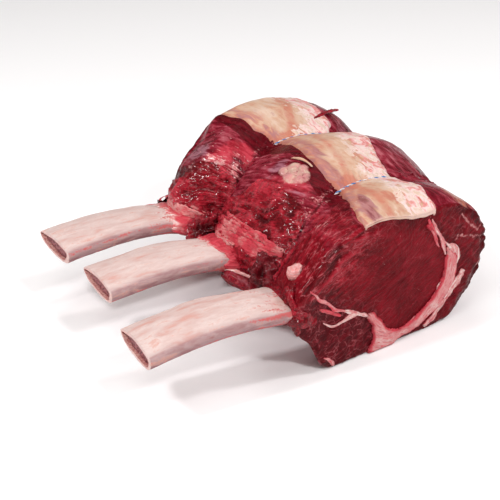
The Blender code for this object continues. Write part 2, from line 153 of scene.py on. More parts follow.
# The studio lights: name, place and width in metres, power in watts, tint.
LIGHTS = (
    ("key", (-0.55, -0.35, 1.15), 0.60, 4.0, (1.0, 0.98, 0.96)),
    ("top", (0.30, 0.40, 1.25), 0.70, 2.9, (1.0, 0.98, 0.97)),
    ("front", (0.15, -1.4, 0.75), 0.60, 3.2, (1.0, 0.98, 0.96)),
    ("glint left", (-0.75, 0.10, 0.95), 0.13, 5.5, (1.0, 0.97, 0.98)),
    ("glint low", (-0.95, 0.25, 0.45), 0.10, 2.6, (1.0, 0.97, 0.98)),
    ("glint front", (-0.05, -1.05, 1.05), 0.13, 7.5, (1.0, 0.97, 0.98)),
    ("glint right", (0.75, -0.55, 0.90), 0.13, 5.0, (1.0, 0.97, 0.98)),
)
SKY_STRENGTH = 0.27
CAMERA_TURN, CAMERA_TILT = -37.22, 27.15  # degrees round from the front and up from level
CAMERA_LOOKS_AT, CAMERA_AWAY = (-0.005, -0.00037, 0.040), 0.8916  # metres

# ---------------------------------------------------------------- numbers


def hashed(ix, iy, iz, seed):
    """A fixed pseudo-random number from 0 to 1 for each whole-number place."""
    with np.errstate(over="ignore"):
        h = ix * np.uint32(0x8DA6B343) ^ iy * np.uint32(0xD8163841) ^ iz * np.uint32(0xCB1AB31F)
        h = h ^ np.uint32((seed * 2654435761 + 12345) % 2**32)
        h = (h ^ (h >> np.uint32(13))) * np.uint32(0x5BD1E995)
        h = (h ^ (h >> np.uint32(15))) * np.uint32(0x27D4EB2D)
        return (h ^ (h >> np.uint32(13))) / 2.0**32


def noise(p, size, seed=0):
    """Smooth noise from -1 to 1 with lumps of the given size, one number or three."""
    q = p / np.asarray(size, float)
    low = np.floor(q)
    f = q - low
    f = f * f * (3 - 2 * f)
    i = low.astype(np.int64).astype(np.uint32)
    total = 0.0
    for corner in range(8):
        dx, dy, dz = corner & 1, corner >> 1 & 1, corner >> 2 & 1
        w = ((f[:, 0] if dx else 1 - f[:, 0]) * (f[:, 1] if dy else 1 - f[:, 1])
            * (f[:, 2] if dz else 1 - f[:, 2]))
        total = (total + w * hashed(i[:, 0] + np.uint32(dx), i[:, 1] + np.uint32(dy), i[:, 2]
            + np.uint32(dz), seed))
    return total * 2 - 1


def layered(p, size, layers=4, seed=0):
    """Noise with finer noise on it, each layer half as large and half as strong."""
    total = sum(noise(p, np.asarray(size, float) / 2**k, seed + 17 * k) / 2**k for k in range(layers))
    return total / (2 - 2 / 2**layers)


def ridged(p, size, layers=3, seed=0):
    """Sharp crests from 0 to 1, as torn meat and folds have."""
    return sum((1 - np.abs(noise(p, np.asarray(size, float) / 2**k, seed + 29 * k))) ** 3 / 2**k
        for k in range(layers)) / (2 - 2 / 2**layers)


def turned(p, degrees):
    """Points turned about the roast's length, so that a stretched pattern slants."""
    c, s = math.cos(math.radians(degrees)), math.sin(math.radians(degrees))
    return np.stack([p[:, 0] * c + p[:, 2] * s, p[:, 1], p[:, 2] * c - p[:, 0] * s], axis=1)


def strands(around, along, width, length, degrees, seed):
    """Crests from 0 to 1 that run slantwise over the unrolled skin, waving as they go."""
    c, s = math.cos(math.radians(degrees)), math.sin(math.radians(degrees))
    flat = np.stack([around, along, np.zeros_like(around)], axis=1)
    sway = width * layered(flat, length * 0.8, 3, seed + 5)
    slant = np.stack([around * c - along * s + sway, along * c + around * s, 0 * around], axis=1)
    return ridged(slant, (width, length, 1.0), 3, seed)


def ease(low, high, x):
    """0 below low, 1 above high and smooth between."""
    t = np.clip((x - low) / (high - low), 0, 1)
    return t * t * (3 - 2 * t)


def hump(x, width):
    return np.exp(-((x / width) ** 2))


def border(table, y):
    """The angle of one of the skin borders at each place along the roast."""
    return np.interp(y, [row[0] for row in table], [row[1] for row in table])


def marks(table, p):
    """How strongly a table of marks on the skin shows at each point."""
    total = np.zeros(len(p))
    for angle, y, size, strength in table:
        gap = np.linalg.norm(p - on_skin(np.array([float(angle)]), np.array([float(y)])), axis=1)
        total += strength * hump(gap, size)
    return total


def gap_to_line(x, z, line):
    """How far each point of a cut end is from a line drawn on it, in mm."""
    best = np.full(len(x), 1e3)
    for (x0, z0), (x1, z1) in zip(line, line[1:]):
        t = np.clip(((x - x0) * (x1 - x0) + (z - z0) * (z1 - z0)) / ((x1 - x0) ** 2 + (z1 - z0) ** 2), 0, 1)
        best = np.minimum(best, np.hypot(x - x0 - t * (x1 - x0), z - z0 - t * (z1 - z0)))
    return best


def nearest_crease(y):
    """How far each place is from the nearer loop of twine, in mm."""
    return np.min([np.abs(y - t) for t in TWINE_Y], axis=0)


class Chart:
    """Numbers on a regular grid, read smoothly between its points. The first way round may join up."""

    def __init__(self, values, origin, step, joined=False):
        self.values, self.origin, self.step, self.joined = values, origin, step, joined

    def at(self, u, v):
        a = (np.asarray(u) - self.origin[0]) / self.step[0]
        b = np.clip((np.asarray(v) - self.origin[1]) / self.step[1], 0, self.values.shape[1] - 1.001)
        n = self.values.shape[0]
        a = a % n if self.joined else np.clip(a, 0, n - 1.001)
        i, j = np.floor(a).astype(int) % n, np.floor(b).astype(int)
        k = (i + 1) % n
        f, g, t = a - np.floor(a), b - j, self.values
        return (t[i, j] * (1 - f) + t[k, j] * f) * (1 - g) + (t[i, j + 1] * (1 - f) + t[k, j + 1] * f) * g

    def soft(self, du, dv):
        """The same chart smoothed over the given distances."""
        sides = []
        for axis, distance in ((0, du), (1, dv)):
            n = self.values.shape[axis]
            gap = np.abs(np.arange(n)[:, None] - np.arange(n)[None, :]).astype(float)
            if axis == 0 and self.joined:
                gap = np.minimum(gap, n - gap)
            w = np.exp(-0.5 * (gap * self.step[axis] / max(distance, 1e-6)) ** 2)
            sides.append(w / w.sum(axis=1, keepdims=True))
        return Chart(sides[0] @ self.values @ sides[1].T, self.origin, self.step, self.joined)


def tree_of(names):
    """A search tree over some CAD nodes in millimetres, and the node that each of its faces is from."""
    points, faces, owner = [], [], []
    for name in names:
        me = bpy.data.objects[name].data
        start = len(points)
        points += [v.co / MM for v in me.vertices]
        faces += [[start + i for i in f.vertices] for f in me.polygons]
        owner += [name] * len(me.polygons)
    return BVHTree.FromPolygons(points, faces), owner


def skin_chart():
    """How far the roast's outside is from its core, over angle and length, with the rib sockets closed."""
    meat, _ = tree_of(MEAT_NODES)
    bones, _ = tree_of(RIB_NODES)
    angles = np.arange(0, 360, SKIN_STEP)
    lengths = np.linspace(FRONT + 0.6, REAR - 0.6, 150)
    reach = np.zeros((len(angles), len(lengths)))
    hidden = np.zeros(reach.shape, bool)
    for i, a in enumerate(np.radians(angles)):
        out = Vector((math.cos(a), 0, math.sin(a)))
        for j, y in enumerate(lengths):
            start = Vector((CORE_X, y, CORE_Z)) + out * FAR
            skin = meat.ray_cast(start, -out)[3]
            reach[i, j] = FAR - skin
            if RIB_SOCKETS[0] < angles[i] < RIB_SOCKETS[1]:
                bone = bones.ray_cast(start, -out)[3]
                hidden[i, j] = bone is not None and bone < skin
    grown = hidden.copy()
    for shift in range(-3, 4):
        for axis in (0, 1):
            grown |= np.roll(hidden, shift, axis)
    known = reach[~grown].mean()
    reach[grown] = known
    for _ in range(SOCKET_PASSES):
        mean = (np.roll(reach, 1, 0) + np.roll(reach, -1, 0) + np.roll(reach, 1, 1)
            + np.roll(reach, -1, 1)) / 4
        reach[grown] = mean[grown]
    step = (SKIN_STEP, lengths[1] - lengths[0])
    return Chart(reach, (0.0, lengths[0]), step, joined=True).soft(1.6, 1.8)


def cut_charts(direction):
    """Which muscle or fat shows at each place of a cut end, one soft-edged chart for each node."""
    tree, owner = tree_of(MEAT_NODES)
    xs, zs = (np.arange(low, high, CUT_STEP) for low, high in CUT_SPANS)
    charts = {n: np.zeros((len(xs), len(zs))) for n in MEAT_NODES}
    for i, x in enumerate(xs):
        for j, z in enumerate(zs):
            hit = tree.ray_cast(Vector((x, -direction * FAR, z)), Vector((0, direction, 0)))
            if hit[0] is not None:
                charts[owner[hit[2]]][i, j] = 1.0
    return {n: Chart(c, (xs[0], zs[0]), (CUT_STEP, CUT_STEP)) for n, c in charts.items()}


class Shape:
    """What the pieces share: the measured skin and the two cut ends."""

    skin = None

    @classmethod
    def measure(cls):
        if cls.skin is None:
            cls.skin = skin_chart()
            cls.ends = {"front": cut_charts(1), "rear": cut_charts(-1)}
        return cls


def about_core(angle, r, y):
    """Points at angles in degrees and distances about the line through the roast."""
    a = np.radians(angle)
    return np.stack([CORE_X + r * np.cos(a), np.broadcast_to(y, np.shape(r)), CORE_Z + r * np.sin(a)],
        axis=-1)


def on_skin(angle, y, lift=0.0):
    """The point of the roast's skin at an angle in degrees and a place along it, raised by lift."""
    return about_core(angle, Shape.skin.at(angle, y) + lift, y)


def skin_beyond(x, z, y):
    """How far the skin is from the core in the direction of each point."""
    return Shape.skin.at(np.degrees(np.arctan2(z - CORE_Z, x - CORE_X)), y)


def unit(vectors):
    return vectors / np.linalg.norm(vectors, axis=1, keepdims=True)


# ---------------------------------------------------------------- meshes


def ball(segments, rings):
    """A new bmesh ball, and each of its points as degrees round it and a share from end to end."""
    bm = bmesh.new()
    bmesh.ops.create_uvsphere(bm, u_segments=segments, v_segments=rings, radius=1.0)
    co = np.array([v.co[:] for v in bm.verts])
    share = np.arccos(np.clip(co[:, 2], -1, 1)) / math.pi
    return bm, np.degrees(np.arctan2(co[:, 1], co[:, 0])), share


def sheet_of(columns, rows):
    """A new bmesh sheet, and each of its points as two shares from 0 to 1."""
    bm = bmesh.new()
    bmesh.ops.create_grid(bm, x_segments=columns, y_segments=rows, size=0.5)
    co = np.array([v.co[:] for v in bm.verts])
    return bm, co[:, 0] + 0.5, co[:, 1] + 0.5


def finish_mesh(bm, name, points=None, smooth=True):
    """Turns a bmesh in mm into an object in metres, its faces outwards and nothing below the floor."""
    if points is not None:
        for v, p in zip(bm.verts, points):
            v.co = p
    for v in bm.verts:
        v.co.z = max(v.co.z, 0.0)
    if bm.calc_volume(signed=True) < 0:
        bmesh.ops.reverse_faces(bm, faces=bm.faces)
    bmesh.ops.scale(bm, vec=(MM, MM, MM), verts=bm.verts)
    me = bpy.data.meshes.new(name)
    bm.to_mesh(me)
    bm.free()
    if smooth:
        me.shade_smooth()
    ob = bpy.data.objects.new(name, me)
    bpy.context.scene.collection.objects.link(ob)
    return ob


def points_of(ob):
    co = np.empty(len(ob.data.vertices) * 3)
    ob.data.vertices.foreach_get("co", co)
    return co.reshape(-1, 3) / MM


def normals_of(ob):
    no = np.empty(len(ob.data.vertices) * 3)
    ob.data.vertex_normals.foreach_get("vector", no)
    return no.reshape(-1, 3)


def move_points(ob, points):
    ob.data.vertices.foreach_set("co", np.ascontiguousarray(points * MM).ravel())
    ob.data.update()


def paint(ob, **fields):
    """Writes named numbers on an object's points, which its material reads."""
    for name, values in fields.items():
        layer = ob.data.attributes.new(name, "FLOAT", "POINT")
        layer.data.foreach_set("value", np.ascontiguousarray(np.broadcast_to(values, len(ob.data.vertices)),
            np.float32))


def dress(ob, material, slot, *nodes):
    """Gives a piece its material, tells the frame what it rides on and hides the CAD nodes it stands for. Its
    slot is not used.
    """
    ob.data.materials.append(material)
    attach(ob, "root")
    if nodes:
        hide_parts(*nodes)
    return ob


# ---------------------------------------------------------------- shader maths


class Field:
    """One socket of a material, so that shader maths reads as an expression."""

    def __init__(self, graph, socket):
        self.graph, self.socket = graph, socket

    def _maths(self, operation, *values):
        return self.graph.node("ShaderNodeMath", {"operation": operation}, dict(enumerate(values)))

    def __add__(self, other): return self._maths("ADD", self, other)
    def __radd__(self, other): return self._maths("ADD", other, self)
    def __sub__(self, other): return self._maths("SUBTRACT", self, other)
    def __rsub__(self, other): return self._maths("SUBTRACT", other, self)
    def __mul__(self, other): return self._maths("MULTIPLY", self, other)
    def __rmul__(self, other): return self._maths("MULTIPLY", other, self)


class Graph:
    """A material's nodes. Sizes of patterns are in millimetres."""

    def __init__(self, name):
        self.material = bpy.data.materials.new(name)
        self.material.use_nodes = True
        self.tree = self.material.node_tree
        self.tree.nodes.clear()
        self.place = self.node("ShaderNodeTexCoord", out="Object")

    def node(self, kind, settings=None, inputs=None, out=0):
        n = self.tree.nodes.new(kind)
        for key, value in (settings or {}).items():
            if key == "stops":
                ramp = n.color_ramp
                while len(ramp.elements) < len(value):
                    ramp.elements.new(1.0)
                for element, (at, colour) in zip(ramp.elements, value):
                    element.position, element.color = at, (*colour, 1.0)
            else:
                setattr(n, key, value)
        for key, value in (inputs or {}).items():
            socket = n.inputs[key]
            if isinstance(value, Field):
                self.tree.links.new(value.socket, socket)
            elif hasattr(socket.default_value,
                "__len__") and len(socket.default_value) == 4 and len(value) == 3:
                socket.default_value = (*value, 1.0)
            else:
                socket.default_value = value
        self.last = n
        return Field(self, n.outputs[out]) if len(n.outputs) else n

    def read(self, name):
        return self.node("ShaderNodeAttribute", {"attribute_name": name}, out="Fac")

    def drawn_out(self, place, lengths, turn):
        """Makes a pattern longer along its own turned axes."""
        return self.node("ShaderNodeMapping", {"vector_type": "TEXTURE"},
            {"Vector": place, "Rotation": turn, "Scale": lengths})

    def own(self):
        """Places told by a piece's own numbers: how far along and across it they are, in mm."""
        return self.node("ShaderNodeCombineXYZ", inputs={"X": self.read("run") * MM,
            "Y": self.read("side") * MM, "Z": 0.0})

    def blotches(self, size, detail=3.0, warp=0.0, stretch=None, rough=0.55, place=None):
        place = place or self.place
        if stretch:
            place = self.drawn_out(place, *stretch)
        return self.node("ShaderNodeTexNoise", inputs={"Vector": place, "Scale": 1 / (size * MM),
            "Detail": detail, "Roughness": rough, "Distortion": warp})

    def cracks(self, size, warp=1.2, stretch=None, place=None):
        """Small near the walls of warped cells, larger inside them."""
        place = place or self.place
        if stretch:
            place = self.drawn_out(place, *stretch)
        bend = self.node("ShaderNodeTexNoise", inputs={"Vector": place, "Scale": 1 / (size * 1.3 * MM),
            "Detail": 2.0}, out="Color")
        pushed = self.node("ShaderNodeVectorMath", {"operation": "MULTIPLY_ADD"},
            {0: bend, 1: (warp * size * MM,) * 3, 2: place})
        return self.node("ShaderNodeTexVoronoi", {"feature": "DISTANCE_TO_EDGE"},
            {"Vector": pushed, "Scale": 1 / (size * MM)}, out="Distance")

    def step(self, value, low, high, start=0.0, end=1.0):
        return self.node("ShaderNodeMapRange", {"interpolation_type": "SMOOTHSTEP"},
            {"Value": value, "From Min": low, "From Max": high, "To Min": start, "To Max": end})

    def mix(self, share, first, second):
        return self.node("ShaderNodeMix", {"data_type": "RGBA"}, {"Factor": share, 6: first, 7: second},
            out=2)

    def over(self, base, where, low, high, most, top):
        """Lays one colour over another: not at all where a number is low, up to a share where it is high."""
        share = self.step(where, low, high)
        return self.mix(share * most if most < 1 else share, base, top)

    def ramp(self, value, *stops):
        return self.node("ShaderNodeValToRGB", {"stops": stops}, {"Fac": value})

    def bump(self, height, distance, strength=1.0):
        return self.node("ShaderNodeBump", inputs={"Height": height, "Distance": distance * MM,
            "Strength": strength})

    def close(self, **inputs):
        """Ends the material with its shader. Names are the shader's own, with _ for spaces."""
        shader = self.node("ShaderNodeBsdfPrincipled",
            inputs={k.replace("_", " "): v for k, v in inputs.items()})
        self.node("ShaderNodeOutputMaterial", inputs={"Surface": shader})
        return self.material


def flesh(c):
    """Wet raw lean: dark torn meat, silvery skin, smooth strip and fine-grained cut ends, with painted shade in
    hollows and creases and painted highlights on crests.
    """
    g = Graph("wet raw lean")
    ragged, silver, cut, strip, pale, vein, dark, relief, lilac, rose, amber, line, pad, wrap = (g.read(n)
        for n in ("ragged", "silver", "cut", "strip", "pale", "vein", "dark", "relief", "lilac", "rose",
        "amber", "line", "pad", "wrap"))
    large, middle, small, tiny = (g.blotches(26, 3), g.blotches(7, 5, 0.6), g.blotches(2.2, 4, 0.4),
        g.blotches(0.8, 2))
    own = g.own()
    fibre = g.blotches(2.6, 4, 0.5, ((1.0, 4.0, 1.0), (0.0, 0.0, -0.3)), place=own)
    shreds = g.blotches(1.3, 4, 0.9, ((1.0, 3.6, 1.0), (0.0, 0.0, -0.25)), place=own)
    arcs = g.blotches(1.5, 5, 1.2, ((3.2, 1.0, 1.0), (0.0, 0.0, 0.15)), place=own)
    shreds = shreds * (1 - wrap) + arcs * wrap
    grain = g.blotches(1.5, 3, 0.3, ((4.0, 2.0, 1.0), (0.0, -0.55, 0.0)))
    # Torn meat coloured by surface height: painted shade in its hollows, painted highlight on its crests
    torn = g.ramp(relief * 0.45 + middle * 0.2 + shreds * 0.35, (0.32, c.crevice), (0.42, c.torn_dark),
        (0.53, c.torn), (0.64, c.torn_light))
    torn = g.over(torn, shreds * 0.7 + small * 0.3, 0.60, 0.70, 0.5, c.gristle_dark)
    film = g.ramp(large * 0.3 + fibre * 0.7, (0.40, c.film_dark), (0.48, c.film), (0.55, c.film_light),
        (0.64, c.film_pale))
    film = g.over(film, rose + (middle - 0.5) * 1.2, 0.25, 0.75, 0.8,
        g.ramp(fibre, (0.40, c.rose_dark), (0.58, c.rose)))
    film = g.over(film, lilac + (fibre - 0.5) * 1.6, 0.30, 0.80, 0.85,
        g.ramp(fibre, (0.40, c.lilac_dark), (0.58, c.lilac)))
    film = g.over(film, amber * 0.7 + (middle - 0.5) * 1.2 + (fibre - 0.5) * 1.4, 0.30, 1.00, 0.85,
        g.ramp(small, (0.40, c.orange), (0.58, c.peach)))
    # Cut ends coloured partly by surface height: painted shade in their dips
    face = g.ramp(large * 0.2 + middle * 0.2 + grain * 0.25 + relief * 0.35, (0.37, c.cut_dark),
        (0.5, c.cut), (0.62, c.cut_light))
    base = g.mix(g.step(ragged + (small - 0.5) * 1.2, 0.40, 0.60), film, torn)
    base = g.over(base, silver + (fibre - 0.5) * 1.4, 0.34, 0.72, 1.0, film)
    base = g.over(base, strip + (fibre - 0.5) * 0.7, 0.42, 0.60, 1.0,
        g.ramp(fibre, (0.42, c.strip), (0.60, c.strip_light)))
    base = g.over(base, cut, 0.45, 0.55, 1.0, face)
    base = g.over(base, wrap + (middle - 0.5) * 1.2, 0.35, 1.00, 0.6, torn)
    # dark: darker muscle, with painted shade in the creases, below rib 3's root and between the ribs
    base = g.over(base, dark + (small - 0.5) * 0.6, 0.35, 0.75, 0.8,
        g.ramp(middle * 0.5 + grain * 0.5, (0.42, c.deep), (0.58, c.deep_light)))
    lines = (g.step(g.cracks(4.2, 1.5, ((1.7, 1.0, 1.0), (0.0, 0.35, 0.0))), 0.008, 0.06, 1.0, 0.0)
        * g.step(middle, 0.44, 0.54))
    base = g.over(base, lines * vein, 0.15, 1.0, 0.6, c.vein)
    threads = g.step(g.cracks(13, 2.0), 0.004, 0.025, 1.0, 0.0) * g.step(large, 0.50, 0.58) * cut * 0.35
    base = g.mix(threads, base, c.vein)
    base = g.over(base, line + (small - 0.5) * 1.3 + (middle - 0.5) * 1.2, 0.35, 0.90, 0.6,
        g.ramp(small, (0.42, c.vein), (0.56, c.gristle)))
    flecks = g.step(grain * 0.5 + small * 0.5, 0.575, 0.62) * cut * 0.3
    base = g.mix(flecks, base, c.cut_fleck)
    # pale: connective tissue, and painted highlight on the crests of the gathers beside the twine
    base = g.over(base, pale + (shreds - 0.5) * 2.4 + (small - 0.5) * 0.3, 0.42, 0.75, 1.0,
        g.ramp(small, (0.42, c.gristle_dark), (0.56, c.gristle)))
    base = g.over(base, pad + (middle - 0.5) * 1.2 + (small - 0.5) * 0.6, 0.30, 1.00, 0.78,
        g.ramp(middle * 0.6 + small * 0.4, (0.40, c.gristle), (0.50, c.pad), (0.60, c.pale_cream)))
    # Thin light arcs over torn meat and folds: painted highlight lines
    glint_wisps = (g.step(g.cracks(2.4, 1.5, ((2.6, 1.0, 1.0), (0.0, 0.0, 0.2)), own), 0.01, 0.09, 1.0, 0.0)
        * g.step(middle * 0.6 + small * 0.4, 0.46, 0.56))
    base = g.mix(glint_wisps * (ragged + wrap * 1.2) * 0.45, base, c.gristle_dark)
    height = (ragged * (middle * 0.8 + shreds * 2.2 + small * 0.7) + small * 0.3 + tiny * 0.12 + fibre * 0.9
        + wrap * shreds * 1.2 + cut * grain * 0.5 + glint_wisps * ragged * 0.5)
    wet = g.step(small * 0.5 + fibre * 0.5, 0.42, 0.58, 0.26, 0.44) + cut * 0.04
    return g.close(Base_Color=base, Roughness=wet, Normal=g.bump(height, 1.3, 1.0), IOR=1.38,
        Specular_IOR_Level=0.06, Coat_Weight=0.24 - cut * 0.14 + ragged * 0.22 - strip * 0.14,
        Coat_Roughness=0.13, Coat_IOR=1.42)


def tallow(c):
    """Cover fat: cream and peach with orange hollows, mauve stains and white tissue."""
    g = Graph("cover fat")
    stain, hollow, tissue, rim, flank = (g.read(n) for n in ("stain", "hollow", "tissue", "rim", "flank"))
    large, middle, small = g.blotches(22, 3), g.blotches(8, 4, 0.5), g.blotches(2, 4)
    streak = g.blotches(5, 4, 0.6, ((0.8, 3.0, 1.0), (0.0, 0.0, 0.25)))
    base = g.ramp(large * 0.4 + middle * 0.3 + streak * 0.3, (0.40, c.peach), (0.48, c.cream),
        (0.58, c.pale_cream))
    base = g.over(base, flank + (streak - 0.5) * 1.6 + (large - 0.5) * 1.2, 0.30, 0.80, 0.85,
        g.ramp(streak, (0.42, c.mauve), (0.52, c.peach), (0.60, c.cream)))
    base = g.over(base, hollow + (middle - 0.5) * 1.2 + (streak - 0.5) * 0.8, 0.35, 0.85, 0.85, c.orange)
    base = g.over(base, stain + (streak - 0.5) * 2.6 + (middle - 0.5) * 1.2, 0.40, 1.10, 0.85,
        g.ramp(streak, (0.42, c.bruise), (0.58, c.mauve)))
    torn = g.blotches(7, 5, 0.8, ((0.8, 1.5, 1.0), (0.0, 0.0, 0.5)))
    patches = g.ramp(torn * 0.8 + small * 0.2, (0.37, c.raw_pink), (0.43, c.pink), (0.51, c.white_tissue),
        (0.60, c.pale_cream))
    base = g.over(base, tissue + (torn - 0.5) * 2.4 + (small - 0.5) * 0.6, 0.46, 0.60, 1.0, patches)
    base = g.over(base, rim + (small - 0.5) * 0.8 + (middle - 0.5) * 0.8, 0.35, 0.9, 0.7, c.lip)
    height = middle * 0.8 + small * 0.35 + tissue * torn * 1.6
    return g.close(Base_Color=base, Roughness=g.step(middle, 0.3, 0.7, 0.34, 0.5),
        Normal=g.bump(height, 0.7, 0.6), IOR=1.42, Specular_IOR_Level=0.3, Subsurface_Weight=0.12,
        Subsurface_Radius=(1.0, 0.5, 0.3), Subsurface_Scale=0.003)


def gristle(c, name="seam fat", first=None, second=None, third=None):
    """Moist pale fat and connective tissue in strands, bloodier where it is flushed."""
    g = Graph(name)
    flush = g.read("flush")
    middle, small, strand = (g.blotches(7, 4, 0.5), g.blotches(1.8, 4, 0.3),
        g.blotches(1.2, 4, 0.6, ((7.0, 1.0, 1.0), (0.0, 0.0, 0.0)), place=g.own()))
    base = g.ramp(middle * 0.25 + small * 0.2 + strand * 0.55, (0.42, second or c.gristle_dark),
        (0.5, first or c.gristle), (0.57, third or c.white_tissue))
    base = g.over(base, flush + (small - 0.5) * 0.6 + (strand - 0.5) * 2.0, 0.35, 0.85, 1.0,
        g.ramp(strand, (0.38, c.flush_dark), (0.56, c.flush)))
    return g.close(Base_Color=base, Roughness=g.step(small, 0.42, 0.58, 0.28, 0.45),
        Normal=g.bump(middle * 0.6 + small * 0.3 + strand * 1.8, 0.8, 0.8), IOR=1.4,
        Specular_IOR_Level=0.35, Subsurface_Weight=0.08, Subsurface_Radius=(1.0, 0.35, 0.25),
        Subsurface_Scale=0.002)


def scraped_bone(c):
    """Fresh scraped rib: pinkish white with soft blotches along it and thin red lines, and painted shade on its
    near and lower sides.
    """
    g = Graph("scraped bone")
    under, red, rim = (g.read(n) for n in ("under", "red", "rim"))
    along = ((3.6, 1.0, 1.0), (0.0, 0.0, -0.13))
    soft, streak, small, pits = (g.blotches(9, 4, 0.4, along), g.blotches(3.5, 5, 0.5, along),
        g.blotches(1.4, 4), g.blotches(0.5, 2))
    base = g.ramp(soft * 0.6 + streak * 0.4, (0.36, c.bone_pink), (0.46, c.bone), (0.56, c.bone_white))
    # under: painted shade, a darker colour on the rib's near and lower sides
    base = g.mix(under, base, g.ramp(streak, (0.42, c.bone_shade_dark), (0.56, c.bone_shade)))
    base = g.over(base, streak * 0.5 + small * 0.2 + soft * 0.3, 0.52, 0.62, 0.6, c.bone_stain)
    base = g.over(base, red + (streak - 0.5) * 1.8 + (small - 0.5) * 1.0, 0.45, 0.80, 0.9, c.bone_red)
    base = g.mix(rim, base, g.ramp(small, (0.42, c.bone_edge_dark), (0.58, c.bone_edge)))
    return g.close(Base_Color=base, Roughness=g.step(streak, 0.3, 0.7, 0.36, 0.52),
        Normal=g.bump(streak + small * 0.5 + pits * 0.2, 0.5, 0.5), IOR=1.45, Specular_IOR_Level=0.35,
        Subsurface_Weight=0.06, Subsurface_Radius=(1.0, 0.5, 0.4), Subsurface_Scale=0.002)


def spongy_marrow(c):
    g = Graph("spongy marrow")
    cells, small = g.cracks(2.0, 0.6), g.blotches(1.5, 4)
    base = g.mix(g.step(cells + (small - 0.5) * 0.3, 0.02, 0.25), c.marrow_web,
        g.ramp(small, (0.42, c.crevice), (0.58, c.marrow)))
    return g.close(Base_Color=base, Roughness=0.4, Normal=g.bump(small - cells, 0.8, 0.8), IOR=1.4)


def cotton(name, colour, second):
    """One ply of butcher's twine, its fibres running slantwise along it."""
    g = Graph(name)
    small = g.blotches(0.5, 3)
    return g.close(Base_Color=g.ramp(small, (0.35, second), (0.6, colour)), Roughness=0.85,
        Normal=g.bump(small, 0.15, 0.7), Sheen_Weight=0.3)


# ---------------------------------------------------------------- settings


# Metres, and the lens in millimetres: name, size, what it is.
SIZES = {
    "rim": (0.0028, "Rounding where the skin meets a cut end"),
    "torn_depth": (0.0026, "How deep the torn meat is"),
    "gather_depth": (0.0016, "Height of the gathers beside the twine"),
    "fat_edge": (0.0012, "How far the cover fat stands above the meat"),
    "ply": (0.00040, "Radius of one ply of the twine"),
    "lay": (0.0062, "Length of one full twist of the twine"),
    "floor": (3.0, "Width of the floor"),
    "lens": (101.14, "Focal length of the camera in mm"),
}

